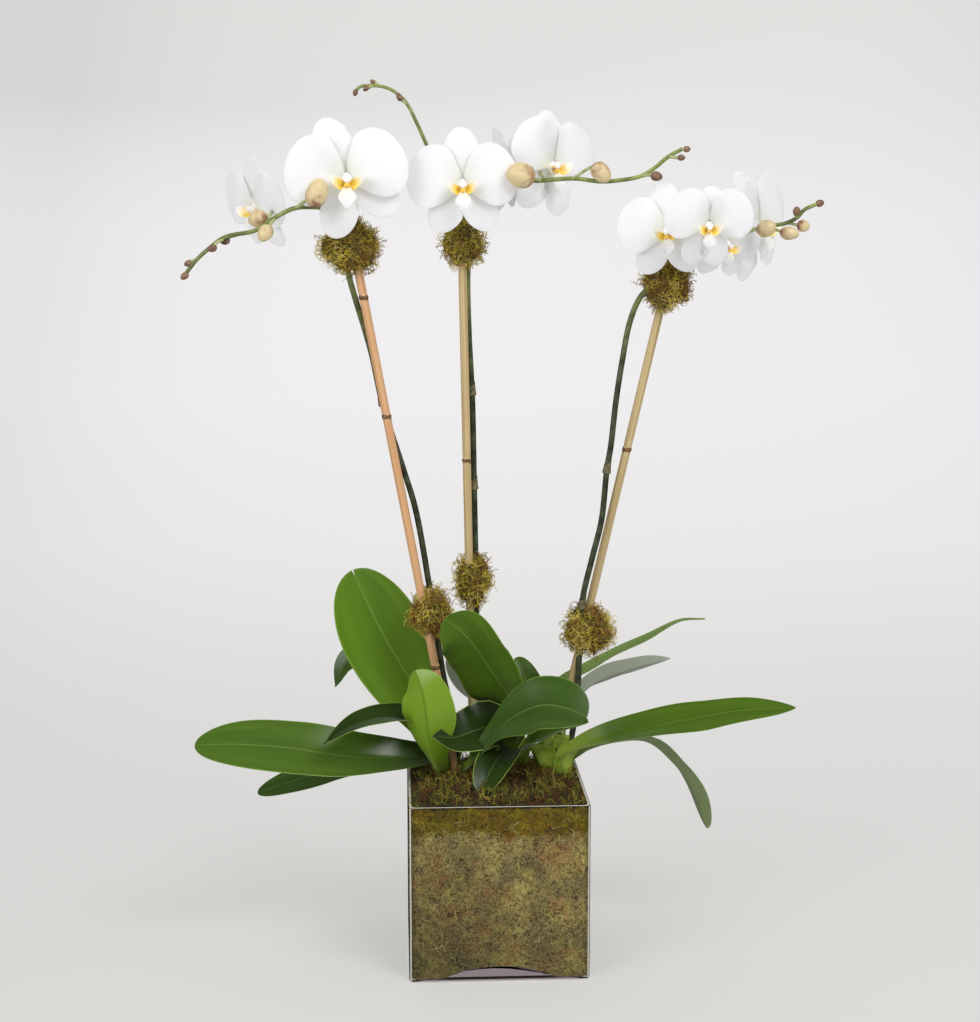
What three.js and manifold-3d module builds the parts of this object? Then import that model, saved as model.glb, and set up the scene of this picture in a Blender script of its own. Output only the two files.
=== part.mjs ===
// Three moth orchids in a square glass vase, in millimetres, +Z up.
// The origin is the middle of the vase's flat underside, +X is to the right and -Y is the front.
import * as THREE from "three";
import { mergeVertices } from "three/addons/utils/BufferGeometryUtils.js";
import Module from "manifold-3d";

const wasm = await Module();
wasm.setup();

// Clearance between pieces that touch.
const GAP = 0.3;

// The vase is a six inch cube of clear glass with a floor that is domed up inside.
const VASE = { side: 152.4, wall: 3.2, corner: 5, innerCorner: 4 };
const INNER_HALF = VASE.side / 2 - VASE.wall;
const FLOOR = { middle: 22.5, edge: 2, reach: 88 };

// What fills it: moss against the glass, the roots inside that, and moss over the top.
const ROOTS = { half: 60, corner: 24, bottom: 36, top: 138 };
const MOSS = { edge: 151, mound: 10, lumps: 2, cells: 5 };

// Bamboo stakes, flower stems and the thin stalks of flowers and buds.
const STAKE_RADIUS = 3.6;
const STAKE_BOTTOM = 60;
const STEM_RADIUS = 2.5;
const SPRAY_RADIUS = 1.9;
const STALK_RADIUS = 1.3;
const NODE_HEIGHT = 7;

// Leaves are thick at the midrib and thin at the edge.
const LEAF = { ribThickness: 2.4, edgeThickness: 1.1, rows: 6, columns: 4 };
const PETAL_THICKNESS = 0.8;

// How finely the round pieces are divided: around, and along their paths.
const SIDES = { stake: 6, stem: 5, stalk: 4, bud: 5, crown: 8, hub: 5 };
const STEPS = { stem: 15, spray: 12, side: 9, stalk: 4, budStalk: 2 };

// Each bloom at full size: three sepals behind two petals, together its tepals. Angles are from
// straight up, to the right as its viewer sees it.
const SEPAL = { width: 33, rise: -3.8, arch: 1, recurve: 5, crown: 2, peak: 0.52, claw: 0.26,
  rows: 3, columns: 2 };
const PETAL = { width: 61, rise: 1, arch: 3, recurve: 3, crown: 2.2, peak: 0.5, claw: 0.26,
  rows: 4, columns: 3 };
const TEPALS = [
  { ...SEPAL, angle: 0, length: 55, width: 34 },
  { ...SEPAL, angle: 146, length: 51 },
  { ...SEPAL, angle: -146, length: 51, rise: -5.2 },
  { ...PETAL, angle: 72, length: 54 },
  { ...PETAL, angle: -72, length: 54 },
];
const TEPAL_START = 4;

// The lip, root to tip: how wide each half is and how far it is folded up. It is widest where its
// two side lobes stand up beside the column, narrow behind its middle lobe, and pointed.
const LIP = {
  path: [[0, -3, 0], [0, -7, 7], [0, -13, 11], [0, -20, 11], [0, -26, 8]],
  halfWidths: [3, 13, 12, 4, 8.5, 6, 1],
  folds: [40, 45, 45, 40, 18, 20, 30],
};
const COLUMN = { length: 11, radius: 3.1 };
const HUB = { radius: 6.4, back: -7, front: 1.6 };

// A stalk ends this far behind the middle of its bloom, after a straight piece this long.
const STALK_DEPTH = 5;
const STALK_BEND = 12;

// Places of the stakes: where each leaves the moss, where it ends in its upper moss ball, and the
// heights of its joints.
const STAKES = [
  { name: "stake_left", foot: [-34.4, 8, 160], head: [-119, 2, 618], joints: [253, 471, 571] },
  { name: "stake_centre", foot: [-17, 45, 158], head: [-27, 22, 612], joints: [430] },
  { name: "stake_right", foot: [53.5, 36, 160], head: [144.5, 0, 584], joints: [441] },
];

// The three plants: where each crown stands in the moss, and its widest half sizes near the top,
// where the bases of the leaves spread like a fan.
const CROWNS = [
  { name: "crown_left", at: [-40, 25], half: [12.5, 10.5], top: 180 },
  { name: "crown_centre", at: [19, 30], half: [16, 11], top: 184 },
  { name: "crown_right", at: [55, 19], half: [20, 11.5], top: 184 },
];

// The flower stems. A path runs from the crown to the upper moss ball, where the thinner spray
// starts. A bud is its place, its two radii and its direction; its stalk starts on the spray.
const STEMS = [
  {
    name: "spike_left",
    blooms: "bloom_left",
    path: [[-33, 27, 160], [-33, 19, 190], [-42, 12.5, 230], [-49, 12.5, 273], [-56, 12.5, 321],
      [-68, 12, 391], [-78, 12, 425], [-95, 10.5, 480], [-105, 9.5, 527], [-117, 6, 569],
      [-121.5, 0, 586], [-125, -6, 606]],
    spray: [[-125, -6, 604], [-131, -14, 634], [-140, -24, 643.5], [-151, -33, 645], [-164, -40, 644],
      [-177, -46, 638], [-196, -51, 626], [-219, -54, 621], [-232, -56, 612], [-242, -56, 603],
      [-251, -56, 592]],
    joints: [0.3, 0.72],
    buds: [
      { stalk: [[-164, -40, 644], [-156, -46, 649]], at: [-146, -48, 656], radii: [9, 12],
        aim: [0.35, -0.1, 1] },
      { stalk: [[-182, -47, 634], [-187, -44, 639]], at: [-194, -42, 635.5], radii: [7, 8],
        aim: [-1, 0.2, -0.3] },
      { stalk: [[-180, -47, 635], [-183, -56, 631]], at: [-187, -60, 624], radii: [6, 7.5],
        aim: [-0.5, -0.4, -0.8] },
      { stalk: [[-211, -53, 622], [-216, -50, 621]], at: [-220, -48, 618], radii: [3.4, 4.2],
        aim: [-1, 0.4, -0.3] },
      { stalk: [[-221, -54.5, 619], [-226, -60, 616]], at: [-229, -62, 612], radii: [3, 4],
        aim: [-1, -0.4, -0.3] },
      { stalk: [[-242, -56, 603], [-246, -55, 602]], at: [-249, -55, 600], radii: [2.6, 3.4],
        aim: [-1, 0, -0.4] },
      { stalk: [[-249, -56, 595], [-251, -56, 592]], at: [-252, -56, 590], radii: [2.8, 3.8],
        aim: [-1, 0, -0.8] },
    ],
  },
  {
    name: "spike_centre",
    blooms: "bloom_centre",
    path: [[12, 33, 160], [-4, 42, 185], [-13, 51, 230], [-14, 47, 286], [-15, 42, 341],
      [-16.5, 37.5, 412],
      [-18, 34, 482], [-21, 32.5, 542], [-22, 31.5, 585], [-21, 29.5, 608]],
    spray: [[-21, 29.5, 606], [-18, 24, 634], [-10, 14, 653], [4, 4, 663], [19, -4, 667],
      [36, -12, 667],
      [64, -20, 668.5], [85, -24, 666], [101, -26, 667], [117, -28, 670], [129, -30, 677],
      [140, -30, 686],
      [151, -30, 692]],
    joints: [0.56, 0.74],
    side: [[-20, 28, 618], [-24, 30, 632], [-35, 33, 654], [-47, 36, 677], [-55, 36, 695],
      [-64, 36, 715],
      [-72, 36, 731], [-79, 36, 739], [-89, 36, 745], [-101, 36, 747], [-112, 36, 746],
      [-116, 36, 742]],
    buds: [
      { stalk: [[38, -12, 667], [28, -20, 669]], at: [19, -26, 671], radii: [10.5, 12.5],
        aim: [-1, -0.4, 0.2] },
      { stalk: [[62, -20, 668], [76, -26, 677], [81, -28, 678]], at: [85, -29, 673],
        radii: [7.5, 9.5], aim: [0.7, -0.1, -0.8] },
      { stalk: [[117, -28, 670], [124, -32, 671]], at: [130, -33, 670], radii: [4, 5],
        aim: [1, -0.1, -0.2] },
      { stalk: [[140, -30, 686], [146, -33, 685]], at: [150, -34, 685], radii: [2.6, 3.2],
        aim: [1, -0.2, 0] },
      { stalk: [[150, -30, 692], [153, -30, 692]], at: [155, -30, 692], radii: [2.6, 3],
        aim: [1, 0, 0] },
      { stalk: [[-73, 36, 732], [-77, 34, 735]], at: [-79, 33, 737], radii: [2.6, 3.4],
        aim: [-0.8, 0, 1] },
      { stalk: [[-95, 36, 746], [-99, 37, 749]], at: [-101, 38, 750], radii: [2, 3],
        aim: [-1, 0, 0.6] },
      { stalk: [[-101, 36, 747], [-105, 34, 745]], at: [-107, 33, 744], radii: [2, 2.8],
        aim: [-1, 0, -0.6] },
      { stalk: [[-113, 36, 745], [-115, 36, 743]], at: [-116, 36, 741], radii: [2.2, 3],
        aim: [-0.3, 0, -1] },
    ],
  },
  {
    name: "spike_right",
    blooms: "bloom_right",
    path: [[62, 19, 158], [70, 24, 190], [74, 25, 225], [75, 22, 257], [77, 16, 309], [84, 10, 345],
      [92, 8, 380], [96, 6, 424], [99, 4, 445], [103, 3, 484], [108, 3, 518], [114, 3, 550],
      [122, 2, 570], [132, -6, 582]],
    spray: [[131, -5, 581], [142, -9, 600], [154, -9, 614], [171, -6, 621], [190, -7, 623],
      [212, -16, 626.5],
      [225, -22, 630], [238, -26, 632], [248, -28, 637], [253, -30, 643], [264, -30, 648]],
    joints: [0.34, 0.62],
    buds: [
      { stalk: [[205, -13, 625], [214, -24, 627]], at: [222, -30, 628], radii: [7, 8.5],
        aim: [0.8, -0.5, 0.3] },
      { stalk: [[225, -22, 630], [232, -32, 626]], at: [240, -36, 624], radii: [5.5, 8],
        aim: [1, -0.2, -0.1] },
      { stalk: [[240, -26, 632.5], [248, -24, 631]], at: [254, -24, 630], radii: [5, 5.5],
        aim: [1, 0.2, -0.2] },
      { stalk: [[248, -28, 637], [245, -32, 640]], at: [246, -34, 642], radii: [3.2, 4],
        aim: [0, -0.6, 1] },
      { stalk: [[262, -30, 647], [264, -30, 648]], at: [266, -30, 648.5], radii: [3, 3.6],
        aim: [1, 0, 0.3] },
    ],
  },
];

// The moss balls that tie each stem to its stake: centre and half sizes.
const BALLS = [
  { name: "moss_ball_left_upper", at: [-121, 2, 613], half: [27, 24, 26], seed: 11 },
  { name: "moss_ball_left_lower", at: [-54.5, 12, 300], half: [20, 20, 25], seed: 12 },
  { name: "moss_ball_centre_upper", at: [-26, 24, 616], half: [20, 20, 23], seed: 13 },
  { name: "moss_ball_centre_lower", at: [-17, 42, 323], half: [18, 19, 26], seed: 14 },
  { name: "moss_ball_right_upper", at: [144, 1, 583], half: [23, 22, 27], seed: 15 },
  { name: "moss_ball_right_lower", at: [83, 24, 281], half: [23, 22, 26], seed: 16 },
];

// The leaves, root to tip. face is where the upper side looks at the root and at the tip, and
// fold is the angle that each half is folded up there.
const LEAVES = [
  { name: "leaf_left_front_long", width: 57, face: [[0, -0.6, 0.8], [-0.1, -0.6, 0.8]],
    fold: [38, 5], peak: 0.62,
    path: [[-45, 21, 164], [-58, 13, 169], [-84, 2, 172], [-130, -9, 178], [-176, -16, 188],
      [-219, -20, 193],
      [-257, -20, 193]] },
  { name: "leaf_left_low", width: 38, face: [[0, -0.3, 1], [-0.2, -0.5, 0.9]], fold: [35, 8],
    peak: 0.55,
    path: [[-50, 32, 160], [-70, 42, 163], [-100, 47, 158], [-154, 50, 146], [-210, 50, 129]] },
  { name: "leaf_left_curled", width: 51, face: [[0.3, 0.9, 0.2], [0.35, 0.85, 0.4]],
    fold: [40, 16], peak: 0.64, root: 0.4, slow: 2.6,
    path: [[-48, 5, 156], [-53, -10, 176], [-58, -19, 198], [-60, -24, 218], [-63, -24, 238],
      [-69, -18, 256]] },
  { name: "leaf_left_upright", width: 77, face: [[-0.2, -0.95, 0.2], [-0.3, -0.85, 0.4]],
    fold: [40, 8], peak: 0.6,
    path: [[-43, 34, 166], [-55, 40, 202], [-74, 42, 235], [-94.5, 45, 270], [-110.5, 50, 302],
      [-123.5, 55, 330]] },
  { name: "leaf_left_back", width: 31, face: [[-0.6, 0, 0.8], [-0.35, -0.85, 0.3]], fold: [40, 12],
    peak: 0.6, taper: 0.9,
    path: [[-46, 35, 168], [-62, 60, 208], [-88, 80, 236], [-114, 90, 246], [-131, 93, 238],
      [-141, 93, 215]] },
  { name: "leaf_left_arching", width: 40, face: [[-0.3, -0.5, 0.8], [-0.5, -0.5, 0.7]],
    fold: [40, 16], peak: 0.4, taper: 1,
    path: [[-48, 24, 172], [-60, 15, 193], [-77, 5, 205], [-94, -8, 211], [-111, -22, 212],
      [-128, -36, 209], [-146, -50, 201]] },
  { name: "leaf_left_glossy", width: 55, face: [[-0.5, -0.5, 0.7], [0.3, -0.75, 0.6]],
    fold: [45, 10], peak: 0.77, root: 0.24, slow: 5.5,
    path: [[-31, 19, 158], [-23, 2, 164], [-14, -12, 181], [0, -25, 203], [18, -40, 222],
      [37, -51, 232],
      [55, -60, 232], [73, -67, 226]] },
  { name: "leaf_centre_upright", width: 72, face: [[-0.8, -0.55, 0.3], [-0.6, -0.7, 0.4]],
    fold: [40, 10], peak: 0.5,
    path: [[20, 27, 174], [23, 16, 199], [15, 5, 223], [1, -4, 246], [-13, -12, 268],
      [-27, -18, 287], [-44, -20, 301]] },
  { name: "leaf_centre_left", width: 48, face: [[-0.2, -0.9, 0.3], [-0.3, -0.8, 0.5]],
    fold: [30, 14], peak: 0.35, taper: 0.9,
    path: [[4, 20, 168], [3, 14, 185], [-5, 7, 198], [-19, -5, 198], [-36, -17, 196],
      [-55, -30, 201]] },
  { name: "leaf_centre_back", width: 40, face: [[0, -0.9, 0.3], [0.2, 0.9, 0.3]], fold: [40, 12],
    peak: 0.55,
    path: [[12, 34, 166], [-8, 60, 190], [-20, 76, 218], [-38, 86, 244]] },
  { name: "leaf_centre_front", width: 34, face: [[0, -0.4, 0.9], [-0.2, -0.9, 0.3]],
    fold: [42, 20], peak: 0.5,
    path: [[19, 24, 168], [11, 2, 178], [-3, -26, 173], [-15, -48, 155]] },
  { name: "leaf_centre_right", width: 34, face: [[0, -0.5, 0.85], [0.3, -0.6, 0.8]],
    fold: [44, 36], peak: 0.5,
    path: [[25, 25, 170], [38, 10, 185], [58, -1, 198], [80, -13, 207]] },
  { name: "leaf_right_long", width: 43, face: [[0, -0.35, 0.94], [0.1, -0.4, 0.9]], fold: [38, 6],
    peak: 0.55, taper: 0.75,
    path: [[60, 13, 171], [80, 11, 180], [100, 14, 185], [135, 18, 192], [175, 18, 200],
      [221, 12, 209], [265, 8, 212]] },
  { name: "leaf_right_drooping", width: 42, face: [[0, -0.1, 1], [0.85, 0.4, 0.35]],
    fold: [38, 12], peak: 0.6,
    path: [[66, 20, 162], [82, 36, 168], [109, 46, 173], [140, 50, 172], [163, 50, 153],
      [181, 48, 129], [195, 46, 91]] },
  { name: "leaf_right_thin", width: 18, face: [[-0.2, -0.2, 1], [0.1, -0.1, 1]], fold: [40, 14],
    peak: 0.35, taper: 0.8,
    path: [[54, 20, 172], [51, 42, 200], [58, 64, 213], [70, 79, 221], [88, 88, 229], [111, 97, 240],
      [144, 106, 253],
      [178, 112, 269], [202, 116, 270]] },
  { name: "leaf_right_raised", width: 44, face: [[0.1, 0.55, 0.8], [-0.2, 0.7, 0.7]], fold: [36, 12],
    peak: 0.36, taper: 0.8,
    path: [[62, 27, 172], [68, 48, 200], [88, 68, 218], [124, 86, 229], [168, 105, 235]] },
  { name: "leaf_right_back", width: 28, face: [[0, -0.9, 0.4], [0, -0.9, 0.4]], fold: [40, 14],
    peak: 0.6,
    path: [[58, 23, 172], [42, 50, 196], [33, 78, 222], [25, 92, 241]] },
];

// The blooms: middle, where each looks, how far it leans to its viewer's left in degrees, its
// share of full size, and the point of the spray that carries it. angles holds the five angles of
// the list of tepals where a bloom has grown in another way than usual, and dorsal the share of its
// length that its top sepal has.
const BLOOMS = [
  { name: "bloom_left_front", at: [-122, -37, 667], looks: [0.02, -1, 0], lean: 0, size: 0.95,
    angles: [-22, 119, -166, 62, -76], from: [-133, -16, 637] },
  { name: "bloom_left_side", at: [-200, 14, 645.5], looks: [-0.75, -0.6, -0.25], lean: -4,
    size: 0.77, from: [-190, -49.5, 630] },
  { name: "bloom_centre_front", at: [-28, -20, 663], looks: [-0.02, -1, 0], lean: 2, size: 0.86,
    from: [-8, 12, 654] },
  { name: "bloom_centre_back", at: [12, 44, 676], looks: [0.9, 0.4, 0.1], lean: -6, size: 0.7,
    from: [0, 6, 661] },
  { name: "bloom_centre_side", at: [49, 16, 680], looks: [0.5, -0.86, 0], lean: 0, size: 0.84,
    angles: [-3, 162, -140, 62, -45], from: [42, -14, 667] },
  { name: "bloom_right_outer", at: [139, -31, 625], looks: [-0.12, -1, 0], lean: 4, size: 0.76,
    from: [150, -10, 610] },
  { name: "bloom_right_front", at: [169, -60, 630], looks: [0, -0.97, -0.25], lean: 0, size: 0.7,
    angles: [3, 163, -156, 62, -62], dorsal: 0.8, from: [171, -6, 621] },
  { name: "bloom_right_side", at: [227, 28, 630], looks: [0.76, -0.65, 0], lean: 0, size: 0.94,
    angles: [-31, 125, -163, 42, -66], from: [206, -13, 625] },
  { name: "bloom_right_low", at: [192.5, -17, 614.5], looks: [0.4, -0.87, -0.3], lean: -4, size: 0.62,
    from: [186, -6.5, 623] },
];

const FINISH = {
  glass: new THREE.MeshStandardMaterial({ color: "#d5dcd6", roughness: 0.05, metalness: 0 }),
  moss: new THREE.MeshStandardMaterial({ color: "#7d7a22", roughness: 0.95, metalness: 0 }),
  roots: new THREE.MeshStandardMaterial({ color: "#5b4630", roughness: 0.95, metalness: 0 }),
  bamboo: new THREE.MeshStandardMaterial({ color: "#c9925c", roughness: 0.5, metalness: 0 }),
  stem: new THREE.MeshStandardMaterial({ color: "#4a5138", roughness: 0.55, metalness: 0 }),
  leaf: new THREE.MeshStandardMaterial({ color: "#1f5a22", roughness: 0.35, metalness: 0 }),
  petal: new THREE.MeshStandardMaterial({ color: "#f7f6f4", roughness: 0.6, metalness: 0 }),
};

const vectorOf = (numbers) => new THREE.Vector3(...numbers);
const curveThrough = (points) => new THREE.CatmullRomCurve3(points.map(vectorOf), false, "centripetal");
const mix = THREE.MathUtils.lerp;

// Random numbers from 0 to 1 that are the same in every run.
function seededRandom(seed) {
  let state = seed;
  return () => {
    state = (state * 1664525 + 1013904223) % 4294967296;
    return state / 4294967296;
  };
}

// A closed geometry as a solid that can be joined and cut.
function solidOf(geometry) {
  const bare = geometry.clone();
  bare.deleteAttribute("normal");
  bare.deleteAttribute("uv");
  const merged = mergeVertices(bare, 1e-4);
  const vertProperties = merged.attributes.position.array;
  const triVerts = new Uint32Array(merged.index.array);
  return new wasm.Manifold(new wasm.Mesh({ numProp: 3, vertProperties, triVerts }));
}

const joined = (solids) => solids.reduce((whole, next) => whole.add(next));

// What is left of a solid when its neighbours are cut away: the largest body, without scraps.
function cutBy(solid, neighbours) {
  const left = neighbours.reduce((rest, next) => rest.subtract(next), solid);
  return left.decompose().reduce((largest,
    next) => (next.volume() > largest.volume() ? next : largest));
}

// A square prism with round corners, from one height to another.
function roundedPrism(half, corner, bottom, top, bevel = 0) {
  const shape = new THREE.Shape();
  const flat = half - corner;
  shape.absarc(flat, flat, corner - bevel, 0, Math.PI / 2);
  shape.absarc(-flat, flat, corner - bevel, Math.PI / 2, Math.PI);
  shape.absarc(-flat, -flat, corner - bevel, Math.PI, 1.5 * Math.PI);
  shape.absarc(flat, -flat, corner - bevel, 1.5 * Math.PI, 2 * Math.PI);
  const geometry = new THREE.ExtrudeGeometry(shape, {
    depth: top - bottom - 2 * bevel,
    curveSegments: 2,
    bevelEnabled: bevel > 0,
    bevelThickness: bevel,
    bevelSize: bevel,
    bevelSegments: 1,
  });
  return solidOf(geometry.translate(0, 0, bottom + bevel));
}

// A body turned about the vertical axis from a profile of [radius, height] points.
function turned(profile, sides) {
  const points = profile.map(([radius, height]) => new THREE.Vector2(radius, height));
  return new THREE.LatheGeometry(points, sides).rotateX(Math.PI / 2);
}

// A round rod along a smooth path, with flat ends.
function rod(points, radius, sides, steps) {
  const corners = Array.from({ length: sides }, (_, k) => {
    const angle = (2 * Math.PI * k) / sides;
    return new THREE.Vector2(radius * Math.cos(angle), radius * Math.sin(angle));
  });
  const extrudePath = curveThrough(points);
  return solidOf(new THREE.ExtrudeGeometry(new THREE.Shape(corners), { steps, extrudePath }));
}

// A thin closed blade. surface(s, t) gives the point and the normal of its middle layer, where s
// runs from 0 at the root to 1 at the tip and t from -1 to 1 across. Both faces have the same
// triangles, and rows are closer together near the tip.
function blade(surface, thickness, rows, columns) {
  const positions = [];
  const triangles = [];
  const layer = (rows + 1) * (columns + 1);
  const index = (row, column) => row * (columns + 1) + column;
  for (const side of [0.5, -0.5]) {
    for (let row = 0; row <= rows; row += 1) {
      const s = Math.sin((row / rows) * (Math.PI / 2));
      for (let column = 0; column <= columns; column += 1) {
        const t = (2 * column) / columns - 1;
        const { point, normal } = surface(s, t);
        point.addScaledVector(normal, side * thickness(s, t));
        positions.push(point.x, point.y, point.z);
      }
    }
  }
  for (let row = 0; row < rows; row += 1) {
    for (let column = 0; column < columns; column += 1) {
      const [a, b] = [index(row, column), index(row, column + 1)];
      const [c, d] = [index(row + 1, column + 1), index(row + 1, column)];
      triangles.push(a, b, c, a, c, d);
      triangles.push(layer + a, layer + c, layer + b, layer + a, layer + d, layer + c);
    }
  }
  const rim = [];
  for (let column = 0; column < columns; column += 1) rim.push(index(0, column));
  for (let row = 0; row < rows; row += 1) rim.push(index(row, columns));
  for (let column = columns; column > 0; column -= 1) rim.push(index(rows, column));
  for (let row = rows; row > 0; row -= 1) rim.push(index(row, 0));
  rim.forEach((a, k) => {
    const b = rim[(k + 1) % rim.length];
    triangles.push(a, layer + a, layer + b, a, layer + b, b);
  });
  const geometry = new THREE.BufferGeometry();
  geometry.setAttribute("position", new THREE.Float32BufferAttribute(positions, 3));
  geometry.setIndex(triangles);
  return solidOf(geometry);
}

// Half width of a leaf or petal, as a share of its widest: from its root's share to 1 at the
// peak, then down to the tip, which is round at a taper of 0.5 and pointed at 1.
function outline(s, peak, root, slow = 1, taper = 0.5) {
  if (s < peak) return mix(root, 1, Math.sin((Math.PI / 2) * (s / peak)) ** slow);
  const past = (s - peak) / (1 - peak);
  return Math.max(0.05, (1 - past ** 2.2) ** taper);
}

function leafSolid(leaf, grow = 0) {
  const midrib = curveThrough(leaf.path);
  const [faceRoot, faceTip] = leaf.face.map(vectorOf);
  const surface = (s, t) => {
    const along = midrib.getTangentAt(s);
    const normal = faceRoot.clone().lerp(faceTip, s).projectOnPlane(along).normalize();
    const across = along.clone().cross(normal);
    const share = outline(s, leaf.peak, leaf.root ?? 0.36, leaf.slow, leaf.taper);
    const half = (leaf.width / 2) * share + grow;
    const fold = THREE.MathUtils.degToRad(mix(leaf.fold[0], leaf.fold[1], Math.min(1, s * 1.6)));
    const point = midrib.getPointAt(s);
    point.addScaledVector(across, t * half * Math.cos(fold));
    point.addScaledVector(normal, Math.abs(t) * half * Math.sin(fold));
    const tilt = Math.abs(t) < 0.1 ? 0 : Math.sign(t) * fold;
    normal.multiplyScalar(Math.cos(tilt)).addScaledVector(across, -Math.sin(tilt));
    return { point, normal };
  };
  const thickness = (s, t) => mix(LEAF.ribThickness, LEAF.edgeThickness,
    Math.abs(t)) * (1 - 0.35 * s) + 2 * grow;
  return blade(surface, thickness, LEAF.rows, LEAF.columns);
}

// One petal or sepal in the bloom's own frame, where +Z looks at the viewer and +Y is up.
function tepal(part, angle) {
  const turn = THREE.MathUtils.degToRad(-angle);
  const height = (u, v) => {
    const s = v / part.length;
    const lift = part.rise + part.arch * Math.sin(Math.PI * s) - part.recurve * s ** 3;
    return lift - part.crown * (u / 30) ** 2;
  };
  const surface = (s, t) => {
    const u = t * (part.width / 2) * outline(s, part.peak, part.claw);
    const v = mix(TEPAL_START, part.length, s);
    const slopeU = height(u + 0.5, v) - height(u - 0.5, v);
    const slopeV = height(u, v + 0.5) - height(u, v - 0.5);
    const point = new THREE.Vector3(u, v, height(u, v));
    const normal = new THREE.Vector3(-slopeU, -slopeV, 1).normalize();
    return {
      point: point.applyAxisAngle(new THREE.Vector3(0, 0, 1), turn),
      normal: normal.applyAxisAngle(new THREE.Vector3(0, 0, 1), turn),
    };
  };
  return blade(surface, () => PETAL_THICKNESS, part.rows, part.columns);
}

// A value read between the entries of an evenly spaced list, where share runs from 0 to 1.
function along(list, share) {
  const place = share * (list.length - 1);
  const low = Math.min(Math.floor(place), list.length - 2);
  return mix(list[low], list[low + 1], place - low);
}

function lipSolid() {
  const middle = curveThrough(LIP.path);
  const surface = (s, t) => {
    const forward = middle.getTangentAt(s);
    const normal = new THREE.Vector3(0, 1, 0.2).projectOnPlane(forward).normalize();
    const across = forward.clone().cross(normal);
    const half = along(LIP.halfWidths, s);
    const fold = THREE.MathUtils.degToRad(along(LIP.folds, s));
    const point = middle.getPointAt(s).addScaledVector(across, t * half * Math.cos(fold * Math.abs(t)));
    point.addScaledVector(normal, Math.abs(t) * half * Math.sin(fold * Math.abs(t)));
    const tilt = fold * t;
    normal.multiplyScalar(Math.cos(tilt)).addScaledVector(across, -Math.sin(tilt));
    return { point, normal };
  };
  return blade(surface, () => 1, 5, 2);
}

function columnSolid() {
  const { length, radius } = COLUMN;
  const profile = [
    [0, HUB.back],
    [HUB.radius, HUB.back + 1],
    [HUB.radius, HUB.front],
    [radius * 0.8, HUB.front + 1.4],
    [radius, length - 3],
    [0, length],
  ];
  return solidOf(turned(profile, SIDES.hub));
}

function bloomSolid(bloom) {
  const [dorsal, ...others] = TEPALS;
  const list = [{ ...dorsal, length: dorsal.length * (bloom.dorsal ?? 1) }, ...others];
  const parts = list.map((part, k) => tepal(part, bloom.angles ? bloom.angles[k] : part.angle));
  return joined([...parts, lipSolid(), columnSolid()]).transform(bloomMatrix(bloom).toArray());
}

// The turn that brings the bloom's own frame to where it looks and leans.
function bloomMatrix(bloom) {
  const front = vectorOf(bloom.looks).normalize();
  const up = new THREE.Vector3(0, 0, 1).projectOnPlane(front).normalize();
  up.applyAxisAngle(front, THREE.MathUtils.degToRad(bloom.lean));
  const right = up.clone().cross(front);
  const matrix = new THREE.Matrix4().makeBasis(right, up, front);
  matrix.scale(new THREE.Vector3(bloom.size, bloom.size, bloom.size));
  return matrix.setPosition(...bloom.at);
}

// A bamboo stake: slightly swollen at its joints, from inside the roots to its upper moss ball.
function stakeSolid(stake, grow = 0) {
  const [foot, head] = [vectorOf(stake.foot), vectorOf(stake.head)];
  const rise = head.clone().sub(foot).normalize();
  const bottom = foot.clone().addScaledVector(rise, (STAKE_BOTTOM - foot.z) / rise.z);
  const length = head.distanceTo(bottom);
  const radius = STAKE_RADIUS + grow;
  const profile = [[0, -grow], [radius, -grow]];
  for (const joint of stake.joints) {
    const at = (joint - bottom.z) / rise.z;
    profile.push([radius, at - 5], [radius * 1.18, at - 0.8], [radius * 1.18, at + 0.8],
      [radius, at + 3]);
  }
  profile.push([radius, length + grow], [0, length + grow]);
  const geometry = turned(profile, SIDES.stake);
  geometry.applyQuaternion(new THREE.Quaternion().setFromUnitVectors(new THREE.Vector3(0, 0, 1), rise));
  return solidOf(geometry.translate(bottom.x, bottom.y, bottom.z));
}

// The short collar of the scale leaf at a joint of a stem.
function collar(path, share, radius) {
  const along = curveThrough(path);
  const geometry = new THREE.CylinderGeometry(radius * 1.12, radius * 1.5, NODE_HEIGHT,
    6).rotateX(Math.PI / 2);
  const up = new THREE.Vector3(0, 0, 1);
  geometry.applyQuaternion(new THREE.Quaternion().setFromUnitVectors(up, along.getTangentAt(share)));
  const { x, y, z } = along.getPointAt(share);
  return solidOf(geometry.translate(x, y, z));
}

function budSolid({ at, radii, aim }, grow) {
  const [wide, long] = radii;
  const geometry = new THREE.SphereGeometry(1, SIDES.bud, 4).rotateX(Math.PI / 2);
  geometry.scale(wide + grow, wide + grow, long + grow);
  const turn = new THREE.Quaternion().setFromUnitVectors(new THREE.Vector3(0, 0, 1),
    vectorOf(aim).normalize());
  return solidOf(geometry.applyQuaternion(turn).translate(...at));
}

// The stalk of a bloom: from the spray round to the back of the bloom, where it ends in the hub.
function stalkPath(bloom) {
  const start = vectorOf(bloom.from);
  const front = vectorOf(bloom.looks).normalize();
  const end = vectorOf(bloom.at).addScaledVector(front, -STALK_DEPTH * bloom.size);
  const behind = end.clone().addScaledVector(front, -STALK_BEND);
  const middle = start.clone().lerp(behind, 0.6).addScaledVector(front, -STALK_BEND / 2);
  return [start, middle, behind, end].map((point) => point.toArray());
}

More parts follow.
